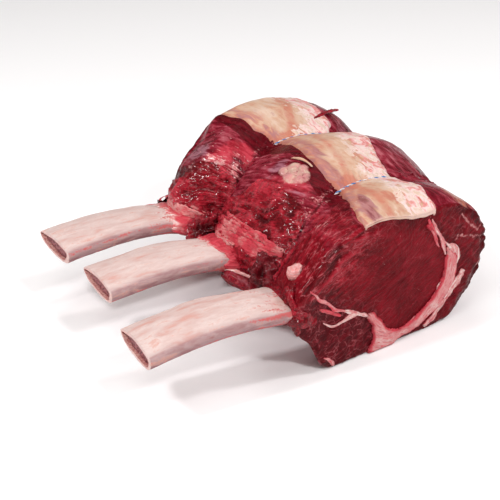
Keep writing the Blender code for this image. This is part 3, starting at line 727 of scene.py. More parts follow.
# Linear red, green and blue, and what each colour is for.
COLOURS = {
    # Painted shade in the hollows of torn meat, also the dark in the marrow's pores:
    "crevice": ((0.080, 0.001, 0.004), "Deep between torn fibres"),
    "torn_dark": ((0.155, 0.0018, 0.006), "Torn meat in shade"),
    "torn": ((0.32, 0.006, 0.017), "Torn meat"),
    # Painted highlight on the crests of torn meat:
    "torn_light": ((0.50, 0.035, 0.055), "Crests of torn meat"),
    "film_dark": ((0.085, 0.001, 0.006), "Skin over dark meat"),
    "film": ((0.16, 0.005, 0.014), "Silvery skin"),
    "film_light": ((0.24, 0.022, 0.038), "Silvery skin, light"),
    "film_pale": ((0.36, 0.09, 0.11), "Silvery skin, palest"),
    "strip": ((0.060, 0.0006, 0.003), "Smooth dark strip by the fat"),
    "strip_light": ((0.115, 0.002, 0.007), "Lighter streaks in the strip"),
    # Dark grain, and also painted shade in the dips of a cut end:
    "cut_dark": ((0.055, 0.0004, 0.002), "Dark grain of a cut end"),
    "cut": ((0.120, 0.0009, 0.0045), "A cut end"),
    "cut_light": ((0.20, 0.003, 0.010), "Light grain of a cut end"),
    "cut_fleck": ((0.28, 0.03, 0.045), "Paler flecks along the grain"),
    "rose": ((0.46, 0.040, 0.060), "Bright blood under the skin"),
    "rose_dark": ((0.27, 0.010, 0.020), "Blood under the skin"),
    "lilac": ((0.32, 0.13, 0.165), "Cool silvery skin"),
    "lilac_dark": ((0.17, 0.035, 0.055), "Cool silvery skin, dark"),
    # The next two colours: darkest muscle, and painted shade in creases, below rib 3's root and between the ribs
    "deep": ((0.045, 0.0006, 0.0025), "Darkest muscle"),
    "deep_light": ((0.090, 0.0015, 0.005), "Dark muscle"),
    "vein": ((0.30, 0.07, 0.08), "Thin fat veins"),
    # The next two colours are connective tissue, and also painted highlight on the gathers and in thin arcs over
    # torn meat:
    "gristle": ((0.58, 0.27, 0.26), "Connective tissue"),
    "gristle_dark": ((0.48, 0.11, 0.125), "Connective tissue, pinker"),
    "cream": ((0.49, 0.300, 0.205), "Cover fat"),
    "pale_cream": ((0.555, 0.405, 0.315), "Cover fat, lightest"),
    "pad": ((0.54, 0.28, 0.25), "The small pad of fat"),
    "peach": ((0.43, 0.165, 0.11), "Cover fat, thin"),
    "orange": ((0.43, 0.135, 0.085), "Hollows of the cover fat"),
    "bruise": ((0.16, 0.028, 0.038), "Dark stains on the fat"),
    "mauve": ((0.31, 0.12, 0.13), "Light stains on the fat"),
    "raw_pink": ((0.48, 0.09, 0.095), "Raw patches among the tissue"),
    "pink": ((0.58, 0.21, 0.20), "Pink tissue"),
    "white_tissue": ((0.68, 0.53, 0.50), "White tissue"),
    "lip": ((0.58, 0.39, 0.32), "Cut edge of the cover fat"),
    "flush": ((0.52, 0.045, 0.065), "Bloody tissue"),
    "flush_dark": ((0.34, 0.012, 0.025), "Bloody tissue, dark"),
    "bone": ((0.53, 0.385, 0.355), "Scraped bone"),
    "bone_white": ((0.585, 0.47, 0.44), "Scraped bone, whitest"),
    "bone_pink": ((0.52, 0.29, 0.25), "Scraped bone, pinkest"),
    # Painted shade on the near and lower sides of a rib:
    "bone_shade": ((0.29, 0.17, 0.175), "Narrow side of a rib"),
    "bone_shade_dark": ((0.23, 0.095, 0.10), "Narrow side of a rib, dark"),
    "bone_stain": ((0.53, 0.25, 0.195), "Blotches on the bone"),
    "bone_red": ((0.44, 0.075, 0.075), "Bloody line on the bone"),
    "bone_edge": ((0.62, 0.36, 0.32), "Sawn rim of a rib"),
    "bone_edge_dark": ((0.42, 0.15, 0.14), "Sawn rim, stained"),
    "marrow": ((0.11, 0.018, 0.022), "Marrow"),
    "marrow_web": ((0.27, 0.08, 0.085), "Fine bone in the marrow"),
    "blue": ((0.05, 0.17, 0.42), "Blue ply"),
    "white": ((0.62, 0.56, 0.54), "White ply"),
    "floor": ((0.92, 0.92, 0.92), "Floor"),
}


def title(name):
    return name.replace("_", " ").capitalize()


class RoastSizes(PropertyGroup):
    __annotations__ = {name: FloatProperty(name=title(name), description=text, default=value, precision=5)
        for name, (value, text) in SIZES.items()}


class RoastColours(PropertyGroup):
    __annotations__ = {name: FloatVectorProperty(name=title(name), description=text, default=value, size=3,
        min=0, max=1, subtype="COLOR") for name, (value, text) in COLOURS.items()}


class Piece(Operator):
    """Shared by the operators: the settings of this scene"""

    bl_options = {"REGISTER", "UNDO"}

    @property
    def sizes(self):
        return bpy.context.scene.roast_sizes

    @property
    def colours(self):
        return bpy.context.scene.roast_colours


# ---------------------------------------------------------------- pieces


def body_zones(angle, p):
    """The kinds of skin at each point, from its angle and place."""
    y = p[:, 1]
    angle = angle + 5.0 * noise(p, 22, 3) + 2.5 * layered(p, 9, 3, 4)
    left, right, strip_end, torn_top = (border(t, y) for t in (FAT_LEFT, FAT_RIGHT, STRIP_LEFT, RAGGED_TOP))
    high = angle % 360
    strip = ease(-2, 1, strip_end - high) * ease(-4, -1, high - left)
    torn = ease(-2, 2, high - torn_top) * ease(-3, 3, 205 - high)
    under = ease(-3, 3, high - 198) * ease(-3, 3, 300 - high)
    right_side = np.maximum(ease(-3, 3, high - 296), ease(-3, 3, right - high))
    silver = ease(-2, 2, high - strip_end) * ease(-2, 2, torn_top - high)
    return strip, torn, under, right_side, silver


class ROAST_OT_body(Piece):
    """The lean: its torn left side, silvery skin and two cut ends"""

    bl_idname = "roast.body"
    bl_label = "Lean body"

    def execute(self, context):
        shape, s = Shape.measure(), self.sizes
        rho = s.rim / MM
        bm, angle, share = ball(*BODY_MESH)
        face_end, bend, rear_start = 0.225, 0.014, 0.855
        bend_f, bend_r = face_end + bend, rear_start - bend
        along = np.clip((share - bend_f) / (bend_r - bend_f), 0, 1)
        y = FRONT + rho + along * (REAR - FRONT - 2 * rho)
        r = shape.skin.at(angle, y)
        # under the cover fat the lean lies lower
        wiggle = np.stack([angle, y, r], axis=1)
        inside = np.minimum(border(FAT_LEFT, y) - angle, angle - border(FAT_RIGHT, y)) * r * math.pi / 180
        from_end = np.minimum(y - FRONT, REAR - y)
        r = r - (0.5 + 1.7 * ease(3, 9, from_end)) * ease(0, 5, inside + 2 * noise(wiggle, 9, 5))
        turn_f = np.clip((share - face_end) / bend, 0, 1) * math.pi / 2
        turn_r = np.clip((rear_start - share) / bend, 0, 1) * math.pi / 2
        front, rear = share < bend_f, share > bend_r
        flat_f = np.clip(share / face_end, 0, 1)
        flat_r = np.clip((1 - share) / (1 - rear_start), 0, 1)
        r = np.where(front, (r - rho) * flat_f + rho * np.sin(turn_f), r)
        y = np.where(front, FRONT + rho * (1 - np.cos(turn_f)), y)
        r = np.where(rear, (r - rho) * flat_r + rho * np.sin(turn_r), r)
        y = np.where(rear, REAR - rho * (1 - np.cos(turn_r)), y)
        p = about_core(angle, r, y)
        ob = finish_mesh(bm, "lean_body", p)
        normal = normals_of(ob)

        cut = np.where(front, np.cos(turn_f), 0) + np.where(rear, np.cos(turn_r), 0)
        strip, torn, under, right_side, silver = body_zones(angle, p)
        crease = nearest_crease(y)
        skin = 1 - cut
        gather = hump(crease, 10) * skin * (1 - 0.6 * hump(crease, 1.6))
        fold = np.stack([angle * r / 57.3, y * 0.22, np.zeros_like(y)], axis=1)

        def here(name, soft):
            """How much of a muscle each point of the nearer cut end has."""
            return np.where(front, *(shape.ends[end][name].soft(soft, soft).at(p[:, 0], p[:, 2])
                for end in shape.ends))

        in_cap, in_rib_muscle = here("cap_muscle", 1.2), here("rib_muscle", 1.2)
        swell = sum(here(name, 3.5) ** 2 for name in MEAT_NODES[:3])
        # the skin unrolled: how far round it and how far along it, on over the rims and across the ends
        around = ((angle + 90) % 360 - 90) * 0.96
        along = y - front * (1 - flat_f) * 60 + rear * (1 - flat_r) * 60
        rough_part = torn * skin * (1 - 0.8 * ease(-50, -60, y))
        lift = (rough_part * s.torn_depth / MM * (1.4 * strands(around, along, 6.0, 17, 14, 11) - 0.55
            + 0.5 * layered(p, 14, 4, 12)))
        lift += rough_part * 1.0 * (strands(around, along, 2.8, 8, 20, 25) - 0.4)
        lift += ((silver + strip) * skin * (0.6 * layered(p, (9, 22, 9), 3, 13)
            + 0.35 * (ridged(turned(p, -40), (14, 7, 4), 3, 26) - 0.4)))
        lift += right_side * skin * 0.9 * layered(p, 16, 4, 14)
        lift += under * skin * 0.7 * layered(p, 12, 4, 16)
        lift += gather * s.gather_depth / MM * (2 * ridged(fold, (3.6, 3.6, 3.6), 2, 15) - 0.8)
        lift += in_cap * cut * 1.1 * (ridged(turned(p, 50), (4, 9, 9), 3, 20) - 0.5)
        lift += in_rib_muscle * cut * 0.8 * (ridged(p, 7, 3, 21) - 0.5)
        busy = ease(75, 10, p[:, 0])
        lift += (cut * (0.5 * (swell - 0.6) + 0.5 * layered(p, 13, 4, 18)
            + (0.15 + 0.5 * busy) * (ridged(turned(p, 20), (9, 9, 2.2), 2, 19) - 0.4)))
        folds = (hump((angle % 360 - 148) / 30, 1.0) * ease(FRONT + 46, FRONT + 24, y)
            * (front * ease(0.50, 0.90, flat_f) + skin))
        lift += folds * 2.4 * (strands(along, around, 5.0, 34, 8, 22) - 0.42)
        edge_tear = (front | rear | (from_end < 6)) * ease(-75, -10, angle) * ease(60, 10, angle)
        lift -= (edge_tear * hump(np.where(front | rear,
            (1 - np.maximum(flat_f * front, flat_r * rear)) * 60, from_end), 5) * 3.2
            * ridged(p, (30, 9, 7), 3, 23))
        lobes = np.sort([hump(np.linalg.norm(p - on_skin(np.array([a0]), np.array([y0])), axis=1), size)
            for a0, y0, size in PAD_LOBES], axis=0)
        pad = (ease(0.25, 0.95, lobes.sum(axis=0)) - 0.50 * ease(0.10, 0.0, lobes[-1] - lobes[-2])
            * ease(0.3, 0.5, lobes[-1]))
        lift += 3.4 * np.clip(lobes[-1] - 0.3, 0, 0.6) * ease(0.25, 0.95, lobes.sum(axis=0))
        lift -= 1.3 * hump(lobes[-1] - lobes[-2], 0.12) * ease(0.3, 0.6, lobes[-1])
        lift += sum(depth * hump(np.linalg.norm(p - np.array(at), axis=1), size) for at, size,
            depth in SWELLINGS)
        left_part = ease(-3, 3, angle % 360 - border(FAT_LEFT, y) - 3) * ease(0, 5, 200 - angle % 360)
        right_part = ease(2, -4, angle - border(FAT_RIGHT, y)) * ease(5, 15, angle)
        lift += skin * (left_part + right_part) * (2.6 * hump(crease, 3.2) - 1.4 * hump(crease, 0.8))
        p = p + normal * lift[:, None]
        p[:, 2] = np.maximum(p[:, 2], 0.0)
        move_points(ob, p)

        # pale: painted highlight on the crests of the gathers beside the twine, pale tissue on the underside and
        # silver skin, and the pale marks
        crest = ridged(fold, (3.6, 3.6, 3.6), 2, 15)
        pale = (gather * 0.45 * ease(0.45, 0.85, crest) * (torn + silver + strip) + under * 0.25
            + 0.12 * silver)
        shoulder = (front * ease(0.62, 0.9, flat_f + 0.12 * layered(p, 12, 3, 24))
            * ease(118, 128, angle % 360) * ease(178, 168, angle % 360))
        sheen = ease(FRONT + 45, FRONT + 5, y) * skin
        pale = pale + marks(PALE_MARKS, p)
        bent_x, bent_z = p[:, 0] + 2.2 * layered(p, 9, 3, 28), p[:, 2] + 2.2 * layered(p, 9, 3, 29)
        near_line = np.min([gap_to_line(bent_x, bent_z, line) for line in MEMBRANES], axis=0)
        # hollow: painted shade on the front cut end below rib 3's root
        hollow = hump(np.hypot(p[:, 0] + 17, (p[:, 2] - 31) * 1.3), 12) * front
        paint(ob, pad=pad, run=around, side=along, wrap=np.clip(folds * 1.3, 0, 1))
        paint(ob, lilac=marks(LILAC_MARKS, p) * skin, rose=marks(ROSE_MARKS, p) * skin,
            amber=marks(ORANGE_MARKS, p) * skin, line=hump(near_line, 0.8) * cut * front)
        wrapped = torn * skin * ease(-50, -60, y + 5 * layered(p, 14, 3, 27))
        # dark: the rib and cap muscles' own colour, the right side darker, and painted shade in the creases
        # beside the twine and below rib 3's root
        paint(ob, cut=cut * (1 - 0.3 * shoulder) + 0.9 * wrapped, ragged=(torn * skin - wrapped)
            + 0.3 * shoulder, silver=(silver * (1 - 0.55 * sheen) + 0.8 * right_side + 0.6 * under) * skin,
            strip=strip * skin, pale=pale * skin, vein=in_rib_muscle * cut + 0.35 * in_cap * cut,
            dark=np.clip(in_rib_muscle * cut + 0.6 * hollow + 0.45 * in_cap * cut
            + 0.8 * skin * hump(crease, 2.5) * (torn + silver) + 0.45 * right_side * skin, 0, 1))
        # The height the skin was raised by, which paints shade in hollows and highlight on crests
        paint(ob, relief=np.clip(0.5 + lift * np.where(cut > 0.5, 0.45, 0.22), 0, 1))
        dress(ob, flesh(self.colours), "lean_meat", "eye_muscle", "cap_muscle", "rib_muscle")
        return {"FINISHED"}


class ROAST_OT_cover_fat(Piece):
    """The sheet of cover fat along the top, with its lips at the cut ends"""

    bl_idname = "roast.cover_fat"
    bl_label = "Cover fat"

    def execute(self, context):
        Shape.measure()
        s = self.sizes
        bm, across, along = sheet_of(*FAT_MESH)
        lip = 0.02
        flat = np.clip((along - lip) / (1 - 2 * lip), 0, 1)
        y = FRONT - 0.1 + flat * (REAR - FRONT + 0.2)
        spare = 6.0
        left, right = border(FAT_LEFT, y) + spare, border(FAT_RIGHT, y) - spare
        angle = right + across * (left - right)
        r = Shape.skin.at(angle, y)
        p0 = about_core(angle, r, y)
        to_left = (left - spare - angle) * r * math.pi / 180 + 1.6 * layered(p0, 12, 3, 31)
        to_right = (angle - right - spare) * r * math.pi / 180 + 7.0 * layered(p0, 15, 4, 32) - 1.0
        inside = np.minimum(to_left, to_right)
        tissue = 0.85 * ease(34, 10, to_right + 9 * layered(p0, 16, 2, 37))
        crease = nearest_crease(y)
        fold = np.stack([angle * r / 57.3, y * 0.2, 0 * y], axis=1)
        lift = -3.2 + (3.2 + s.fat_edge / MM * 0.3) * ease(-2.0, 3.2, inside)
        lift = lift + 0.7 * layered(p0, 24, 3, 33) * ease(0, 8, inside)
        lift = lift + tissue * 0.9 * (ridged(p0, (7, 12, 7), 3, 34) - 0.4) * ease(-1, 3, inside)
        lift = lift + 0.55 * hump(crease, 9) * (2 * ridged(fold, 4.2, 2, 35) - 0.8) * ease(0, 4, inside)
        lift = lift - 0.5 * hump(crease, 1.2)
        rounding = hump(np.minimum(y - FRONT, REAR - y), 1.4)
        lift = lift - 0.6 * rounding
        over = np.maximum((lip - along) / lip, 0) + np.maximum((along - 1 + lip) / lip, 0)
        lift = lift - (1.4 + 1.4 * ease(100, 75, angle) + 1.2 * layered(p0, 12, 3, 36)) * over
        back_in = 4.0 * ease(1.5, -1.5, inside) - 0.5 * hump(over - 0.4, 0.4) + 0.8 * ease(0.75, 1.0, over)
        y = y + back_in * np.sign(0.5 - along) * ease(12, 2, np.minimum(y - FRONT, REAR - y))
        p = about_core(angle, r + lift, y)
        stain_path = np.interp(y, (-92, -78, -50, -22, -10, 20, 50, 64, 88),
            (115, 110, 99, 93.5, 91.6, 88, 86.3, 86, 83))
        patchy = 0.55 + 1.0 * layered(p0, 22, 2, 38)
        stain = ((0.8 + 0.3 * ease(-60, -72, y)) * hump(angle - stain_path, 3.0)
            * np.maximum(patchy, ease(-60, -72, y)) + 0.5 * hump(angle - border(FAT_LEFT, y) + 6, 6)
            * ease(-60, -38, y) * ease(30, -10, y))
        stain = stain + 0.55 * ease(121, 116, angle) * ease(104, 109, angle) * ease(-62, -76, y)
        hollow_path = np.interp(y, (-92, -70, -50, -30, 0, 30, 60, 88), (102, 99, 97, 86, 80, 70, 62, 60))
        hollow = ((0.6 + 0.15 * ease(-60, -72, y)) * hump(angle - hollow_path, 6) + 0.55 * hump(crease, 7)
            + 0.55 * hump(to_left, 3.5))
        for v, q in zip(bm.verts, p):
            v.co = q
        bmesh.ops.solidify(bm, geom=bm.faces[:], thickness=-FAT_THICKNESS)
        bmesh.ops.recalc_face_normals(bm, faces=bm.faces)
        ob = finish_mesh(bm, "cover_fat")
        count = len(ob.data.vertices)
        flank = ease(17, 3, to_left + 5 * layered(p0, 18, 2, 39))
        fields = dict(flank=flank, stain=stain, hollow=hollow, tissue=tissue,
            rim=np.clip(over * 3 + 0.6 * hump(np.minimum(y - FRONT, REAR - y), 2.0), 0, 1))
        if count == 2 * len(y):
            fields = {k: np.concatenate([v, v]) for k, v in fields.items()}
        else:
            raise ValueError("the cover fat's two sides differ")
        paint(ob, **fields)
        dress(ob, tallow(self.colours), "cover_fat", "back_fat")
        return {"FINISHED"}


def curve_through(points, shares):
    """A smooth line through some points, read at shares from 0 to 1 of its length."""
    p = np.array(points, float)
    ends = np.concatenate([[2 * p[0] - p[1]], p, [2 * p[-1] - p[-2]]])
    at = np.concatenate([[0], np.cumsum(np.linalg.norm(np.diff(p, axis=0), axis=1))])
    u = np.interp(np.clip(shares, 0, 1) * at[-1], at, np.arange(len(p)))
    i = np.minimum(np.floor(u).astype(int), len(p) - 2)
    f = (u - i)[:, None]
    a, b, c, d = (ends[i + k] for k in range(4))
    return 0.5 * (2 * b + (c - a) * f + (2 * a - 5 * b + 4 * c - d) * f**2 + (3 * b - a - 3 * c + d) * f**3)


def follow(route, share):
    """Places along a route, closer together towards its ends, with how far along and which way they go."""
    eased = 0.5 - 0.5 * np.cos(share * math.pi)
    ahead = curve_through(route, eased + 0.02) - curve_through(route, eased - 0.02)
    return eased, curve_through(route, eased), ahead


def end_surface(end):
    """A search tree over the finished lean, for laying strands on its cut ends."""
    me = bpy.data.objects["lean_body"].data
    points = [v.co / MM for v in me.vertices]
    sign = -1 if end == "front" else 1
    faces = [tuple(f.vertices) for f in me.polygons if f.normal.y * sign > 0.2]
    return BVHTree.FromPolygons(points, faces)


def face_ribbon(name, end, route, material, seed, flush, surface):
    """A flat strand of the seam on a cut end. Its route is (x, z, half width) on the front end, in mm."""
    route = np.array(route, float)
    if end == "rear":
        corners = {}
        for side in ("front", "rear"):
            chart = Shape.ends[side]["seam_fat"]
            rows, columns = np.nonzero(chart.values > 0.5)
            reach = np.array([(rows.min(), columns.min()), (rows.max(), columns.max())])
            corners[side] = np.array(chart.origin) + reach * np.array(chart.step)
        scale = (corners["rear"][1] - corners["rear"][0]) / (corners["front"][1] - corners["front"][0])
        route[:, :2] = corners["rear"][0] + (route[:, :2] - corners["front"][0]) * scale
    length = np.linalg.norm(np.diff(route[:, :2], axis=0), axis=1).sum()
    bm, angle, share = ball(22, max(24, int(length / 0.7)))
    eased, line, ahead = follow(route, share)
    ahead = unit(ahead[:, :2])
    place = np.stack([line[:, 0], np.full(len(line), seed * 3.0), line[:, 1]], axis=1)
    a = np.radians(angle)
    flat, high = (np.sign(v) * np.abs(v) ** 0.6 for v in (np.cos(a), np.sin(a)))
    swell = np.clip(np.sin(share * math.pi) * 4, 0, 1) ** 0.5
    half = line[:, 2] * (1 + 0.95 * layered(place + flat[:, None] * 3, 6, 5, seed)) * swell
    sign, y = (-1, FRONT) if end == "front" else (1, REAR)
    ground = np.empty(len(line))
    sideways = flat * half
    x, z = line[:, 0] - ahead[:, 1] * sideways, line[:, 1] + ahead[:, 0] * sideways
    out = np.hypot(x - CORE_X, z - CORE_Z)
    most = skin_beyond(x, z, y) - RIBBON_INSET[end]
    pull = np.minimum(1, most / out)
    x, z = CORE_X + (x - CORE_X) * pull, CORE_Z + (z - CORE_Z) * pull
    for k, (px, pz) in enumerate(zip(line[:, 0], line[:, 1])):
        hit = surface.ray_cast(Vector((px, sign * FAR, pz)), Vector((0, -sign, 0)))[0]
        ground[k] = hit.y if hit is not None and abs(hit.y - y) < END_RELIEF else y
    p = np.stack([x, ground, z], axis=1)
    lift = (high * np.minimum(0.55, 0.32 * half + 0.1) * swell + 0.12 + 0.25 * layered(p, 7, 3, seed + 1)
        + 0.25 * (ridged(p, (2.5, 3, 2.5), 2, seed + 2) - 0.4) * (high > 0))
    p[:, 1] += sign * lift
    ob = finish_mesh(bm, name, p)
    paint(ob, flush=np.clip(flush + 0.35 * ease(0.75, 1.0, np.abs(flat)) + 0.4 * layered(p, 5, 3, seed + 3),
        -0.5, 1.2), run=eased * length + 70 * seed, side=sideways)
    return dress(ob, material, "seam_fat")


class ROAST_OT_seam_fat(Piece):
    """The seam of fat between the muscles, where it shows at the two cut ends"""

    bl_idname = "roast.seam_fat"
    bl_label = "Seam fat"

    def execute(self, context):
        shape = Shape.measure()
        material = gristle(self.colours)
        for end, sign in (("front", -1), ("rear", 1)):
            place = FRONT if end == "front" else REAR
            surface = end_surface(end)
            chart = shape.ends[end]["seam_fat"].soft(0.9, 0.9)
            wide = shape.ends[end]["seam_fat"].soft(2.6, 2.6)
            bm, u, v = sheet_of(*SEAM_MESH)
            x, z = -52 + u * 197, -2 + v * 108
            p = np.stack([x, np.full_like(x, place), z], axis=1)
            left_part = ease(20, 12, x)
            top_part = ease(46, 50, z) * ease(60, 70, x)
            field = chart.at(x, z) - 0.40 - 0.80 * left_part - 0.60 * top_part
            field = field + (0.20 + 0.25 * left_part) * layered(p, 8, 4, 41) + 0.12 * noise(p, 2.5, 42)
            field = np.minimum(field, 4 * (skin_beyond(x, z, place) - np.hypot(x - CORE_X, z - CORE_Z)) / 10
                - 0.25)
            keep = field > 0
            for vert, on in zip(bm.verts, keep):
                vert.tag = bool(on)
            gone = [f for f in bm.faces if not any(q.tag for q in f.verts)]
            index = {vert: i for i, vert in enumerate(bm.verts)}
            for vert, q in zip(bm.verts, p):
                vert.co = q
            bmesh.ops.delete(bm, geom=gone, context="FACES")
            left = np.array([index[vert] for vert in bm.verts])
            edge = ease(-0.05, 0.25, field[left])
            rough = layered(p[left], 8, 4, 43)
            raised = -2.0 + 1.1 * ease(-0.05, 0.06, field[left]) + 0.4 * rough * edge
            for vert, lift in zip(bm.verts, raised):
                vert.co.y += sign * lift
            bmesh.ops.solidify(bm, geom=bm.faces[:], thickness=sign * SEAM_THICKNESS)
            bmesh.ops.recalc_face_normals(bm, faces=bm.faces)
            ob = finish_mesh(bm, f"seam_fat_{end}")
            q = points_of(ob)
            thin = 1 - ease(0.25, 0.75, wide.at(q[:, 0], q[:, 2]))
            upper = ease(55, 60, q[:, 2]) * ease(60, 75, q[:, 0])
            off_x, off_z = q[:, 0] - EYE_MIDDLE[0], q[:, 2] - EYE_MIDDLE[1]
            paint(ob, run=np.degrees(np.arctan2(off_z, off_x)) * 0.8, side=np.hypot(off_x, off_z))
            paint(ob, flush=0.45 + 0.45 * thin + 0.3 * (1 - ease(0.2, 0.7, chart.at(q[:, 0], q[:, 2])))
                + 1.0 * upper)
            dress(ob, material, "seam_fat", "seam_fat")
            for number, (route, flush) in enumerate(SEAM_RIBBONS, 1):
                face_ribbon(f"seam_ribbon_{end}_{number}", end, route, material, 300 + number, flush, surface)
        return {"FINISHED"}


RIB_SHAPES = {}


def rib_axis(name):
    """A rib's points in mm, its direction in plan and its cross direction, from its CAD node."""
    me = bpy.data.objects[name].data
    p = np.array([v.co[:] for v in me.vertices]) / MM
    flat = p[:, :2] - p[:, :2].mean(axis=0)
    _, _, rows = np.linalg.svd(flat, full_matrices=False)
    out = np.append(rows[0] * (-1 if rows[0][0] > 0 else 1), 0.0)
    # the sawn end is square to the rib, so its faces give the direction exactly
    tip = (p @ out).max()
    sawn = [f for f in me.polygons if np.array(f.normal) @ out > 0.9 and np.array(f.center) @ out / MM > tip
        - 15]
    out = sum(np.array(f.normal) * f.area for f in sawn)
    out[2] = 0.0
    out /= np.linalg.norm(out)
    side = np.array([out[1], -out[0], 0.0])
    return p, out, side


def measure_rib(name, segments, stations):
    """The rib's outside at each angle round it and each station from root to tip."""
    p, out, side = rib_axis(name)
    tree, _ = tree_of((name,))
    along, across = p @ out, p @ side
    first, last = along.min(), along.max()
    rows = np.linspace(first + 5.0, last - 0.6, stations)
    angles = np.radians(np.arange(segments) * 360 / segments)
    grid = np.zeros((segments, stations, 3))
    for j, t in enumerate(rows):
        near = np.abs(along - t) < 12
        low, high = across[near].min(), across[near].max()
        z0, z1 = p[near][:, 2].min(), p[near][:, 2].max()
        # the true height of the section, from above and below at its middle
        mid = out * t + side * (low + high) / 2
        top = tree.ray_cast(Vector((mid[0], mid[1], z1 + 50)), Vector((0, 0, -1)))[0]
        bottom = tree.ray_cast(Vector((mid[0], mid[1], z0 - 50)), Vector((0, 0, 1)))[0]
        if top is None or bottom is None:
            raise ValueError(f"{name} has no section at {t:.0f} mm")
        zc, half_z = (top.z + bottom.z) / 2, (top.z - bottom.z) / 2
        half_w = (high - low) / 2
        for i, a in enumerate(angles):
            focus = mid + side * (half_w - half_z) * math.cos(a) * 0.9
            focus[2] = zc
            ray = side * math.cos(a) + np.array([0, 0, math.sin(a)])
            hit = tree.ray_cast(Vector(focus + ray * 90), Vector(-ray))[0]
            grid[i, j] = hit if hit is not None else focus
    return grid, out, side, rows


def rib_charts(grid):
    """The x, y and z of a measured rib, each over angle and station, smoothed a little."""
    return [Chart(grid[:, :, k], (0, 0), (1, 1), joined=True).soft(0.9, 3.0) for k in range(3)]


class ROAST_OT_ribs(Piece):
    """The three scraped ribs with their sawn ends and the marrow in them"""

    bl_idname = "roast.ribs"
    bl_label = "Ribs and marrow"

    def execute(self, context):
        material, marrow = scraped_bone(self.colours), spongy_marrow(self.colours)
        for number, name in enumerate(RIB_NODES, 1):
            segments, stations = RIB_MESH[0], RIB_STATIONS
            RIB_SHAPES[name] = measure_rib(name, segments, stations)
            grid, out, side, _ = RIB_SHAPES[name]
            charts = rib_charts(grid)
            bm, angle, share = ball(*RIB_MESH)
            turn = angle % 360 / (360 / segments)
            body_end, rim_end, hole_end = 0.80, 0.86, 0.92
            station = np.clip((share - 0.02) / (body_end - 0.02), 0, 1) * (stations - 1)
            p = np.stack([c.at(turn, station) for c in charts], axis=1)
            tip = np.stack([c.at(turn, np.full_like(turn, stations - 1.0)) for c in charts], axis=1)
            root = np.stack([c.at(turn, np.zeros_like(turn)) for c in charts], axis=1)
            middle = tip.mean(axis=0)
            low = share < 0.02
            p[low] = (root.mean(axis=0) + (root - root.mean(axis=0)) * (share / 0.02)[:, None])[low]
            ob_noise = layered(p, (14, 14, 10), 4, 50 + number)
            rim_share = np.clip((share - body_end) / (rim_end - body_end), 0, 1)
            hole_share = np.clip((share - rim_end) / (hole_end - rim_end), 0, 1)
            floor_share = np.clip((share - hole_end) / (1 - hole_end), 0, 1)
            from_middle = tip - middle
            wide = (from_middle @ side)[:, None] * side
            tall = from_middle - wide
            wander = 1 + 0.05 * np.sin(np.radians(angle) * 3 + number) + 0.04 * np.sin(np.radians(angle) * 5)
            hole = middle + wide * (0.89 * wander)[:, None] + tall * (0.72 * wander)[:, None]
            flat = tip + (hole - tip) * rim_share[:, None]
            late = share >= body_end
            q = flat - out * (3.0 * hole_share)[:, None]
            q = q + (middle - out * 3.0 - q) * floor_share[:, None]
            p[late] = q[late]
            saw = np.where(late, 0.25 * layered(p, 3, 3, 60 + number) * (1 - hole_share), 0)
            p = p + out * (0.5 + saw)[:, None] * late[:, None]
            ob = finish_mesh(bm, f"rib_{number}", p)
            normal = normals_of(ob)
            lift = np.where(late, -0.15 * (1 - rim_share), 0.55 * ob_noise
                + 0.12 * layered(p, 2.5, 2, 70 + number))
            lift = np.where(low, 0, lift)
            p = p + normal * lift[:, None]
            move_points(ob, p)
            # under paints shade on the rib's near side and on its downward-facing side
            facing = normal
            shaded_near_side = ease(0.15, 0.7, facing @ side * (1 if side[1] < 0 else -1))
            shaded_underside = ease(0.0, 0.6, -facing[:, 2])
            rooted = ease(0.46, 0.20, share)
            ridge = hump(facing[:, 2] - 0.55, 0.22) * (facing @ side * (1 if side[1] < 0 else -1) > 0)
            red = ((0.62 * hump(facing[:, 2] + 0.45, 0.22)
                + 0.55 * ridge * ease(0.2, 0.6, layered(p, (30, 30, 8), 2, 75 + number) + 0.4))
                * (1 - late))
            red = red + 0.38 * rooted
            paint(ob, under=np.clip(0.8 * shaded_near_side + 0.7 * shaded_underside, 0, 1) * (1 - late), red=red,
                rim=np.clip(rim_share * 0.7 + hole_share, 0, 1))
            dress(ob, material, "bone", name)

            bm, angle, share = ball(48, 40)
            reach = np.sin(share * math.pi)
            turn = angle % 360 / (360 / segments)
            ring = np.stack([c.at(turn, np.full_like(turn, stations - 1.0)) for c in charts], axis=1) - middle
            wide = (ring @ side)[:, None] * side
            tall = ring - wide
            q = (middle + (wide * 0.91 + tall * 0.76) * reach[:, None] - out * 2.2
                + out * (np.cos(share * math.pi) * 0.9)[:, None])
            q = q + out * (0.9 * layered(q, 3, 3, 80 + number) * (share < 0.5))[:, None]
            plug = finish_mesh(bm, f"marrow_fill_{number}", q)
            dress(plug, marrow, "marrow", f"marrow_{number}")
        return {"FINISHED"}


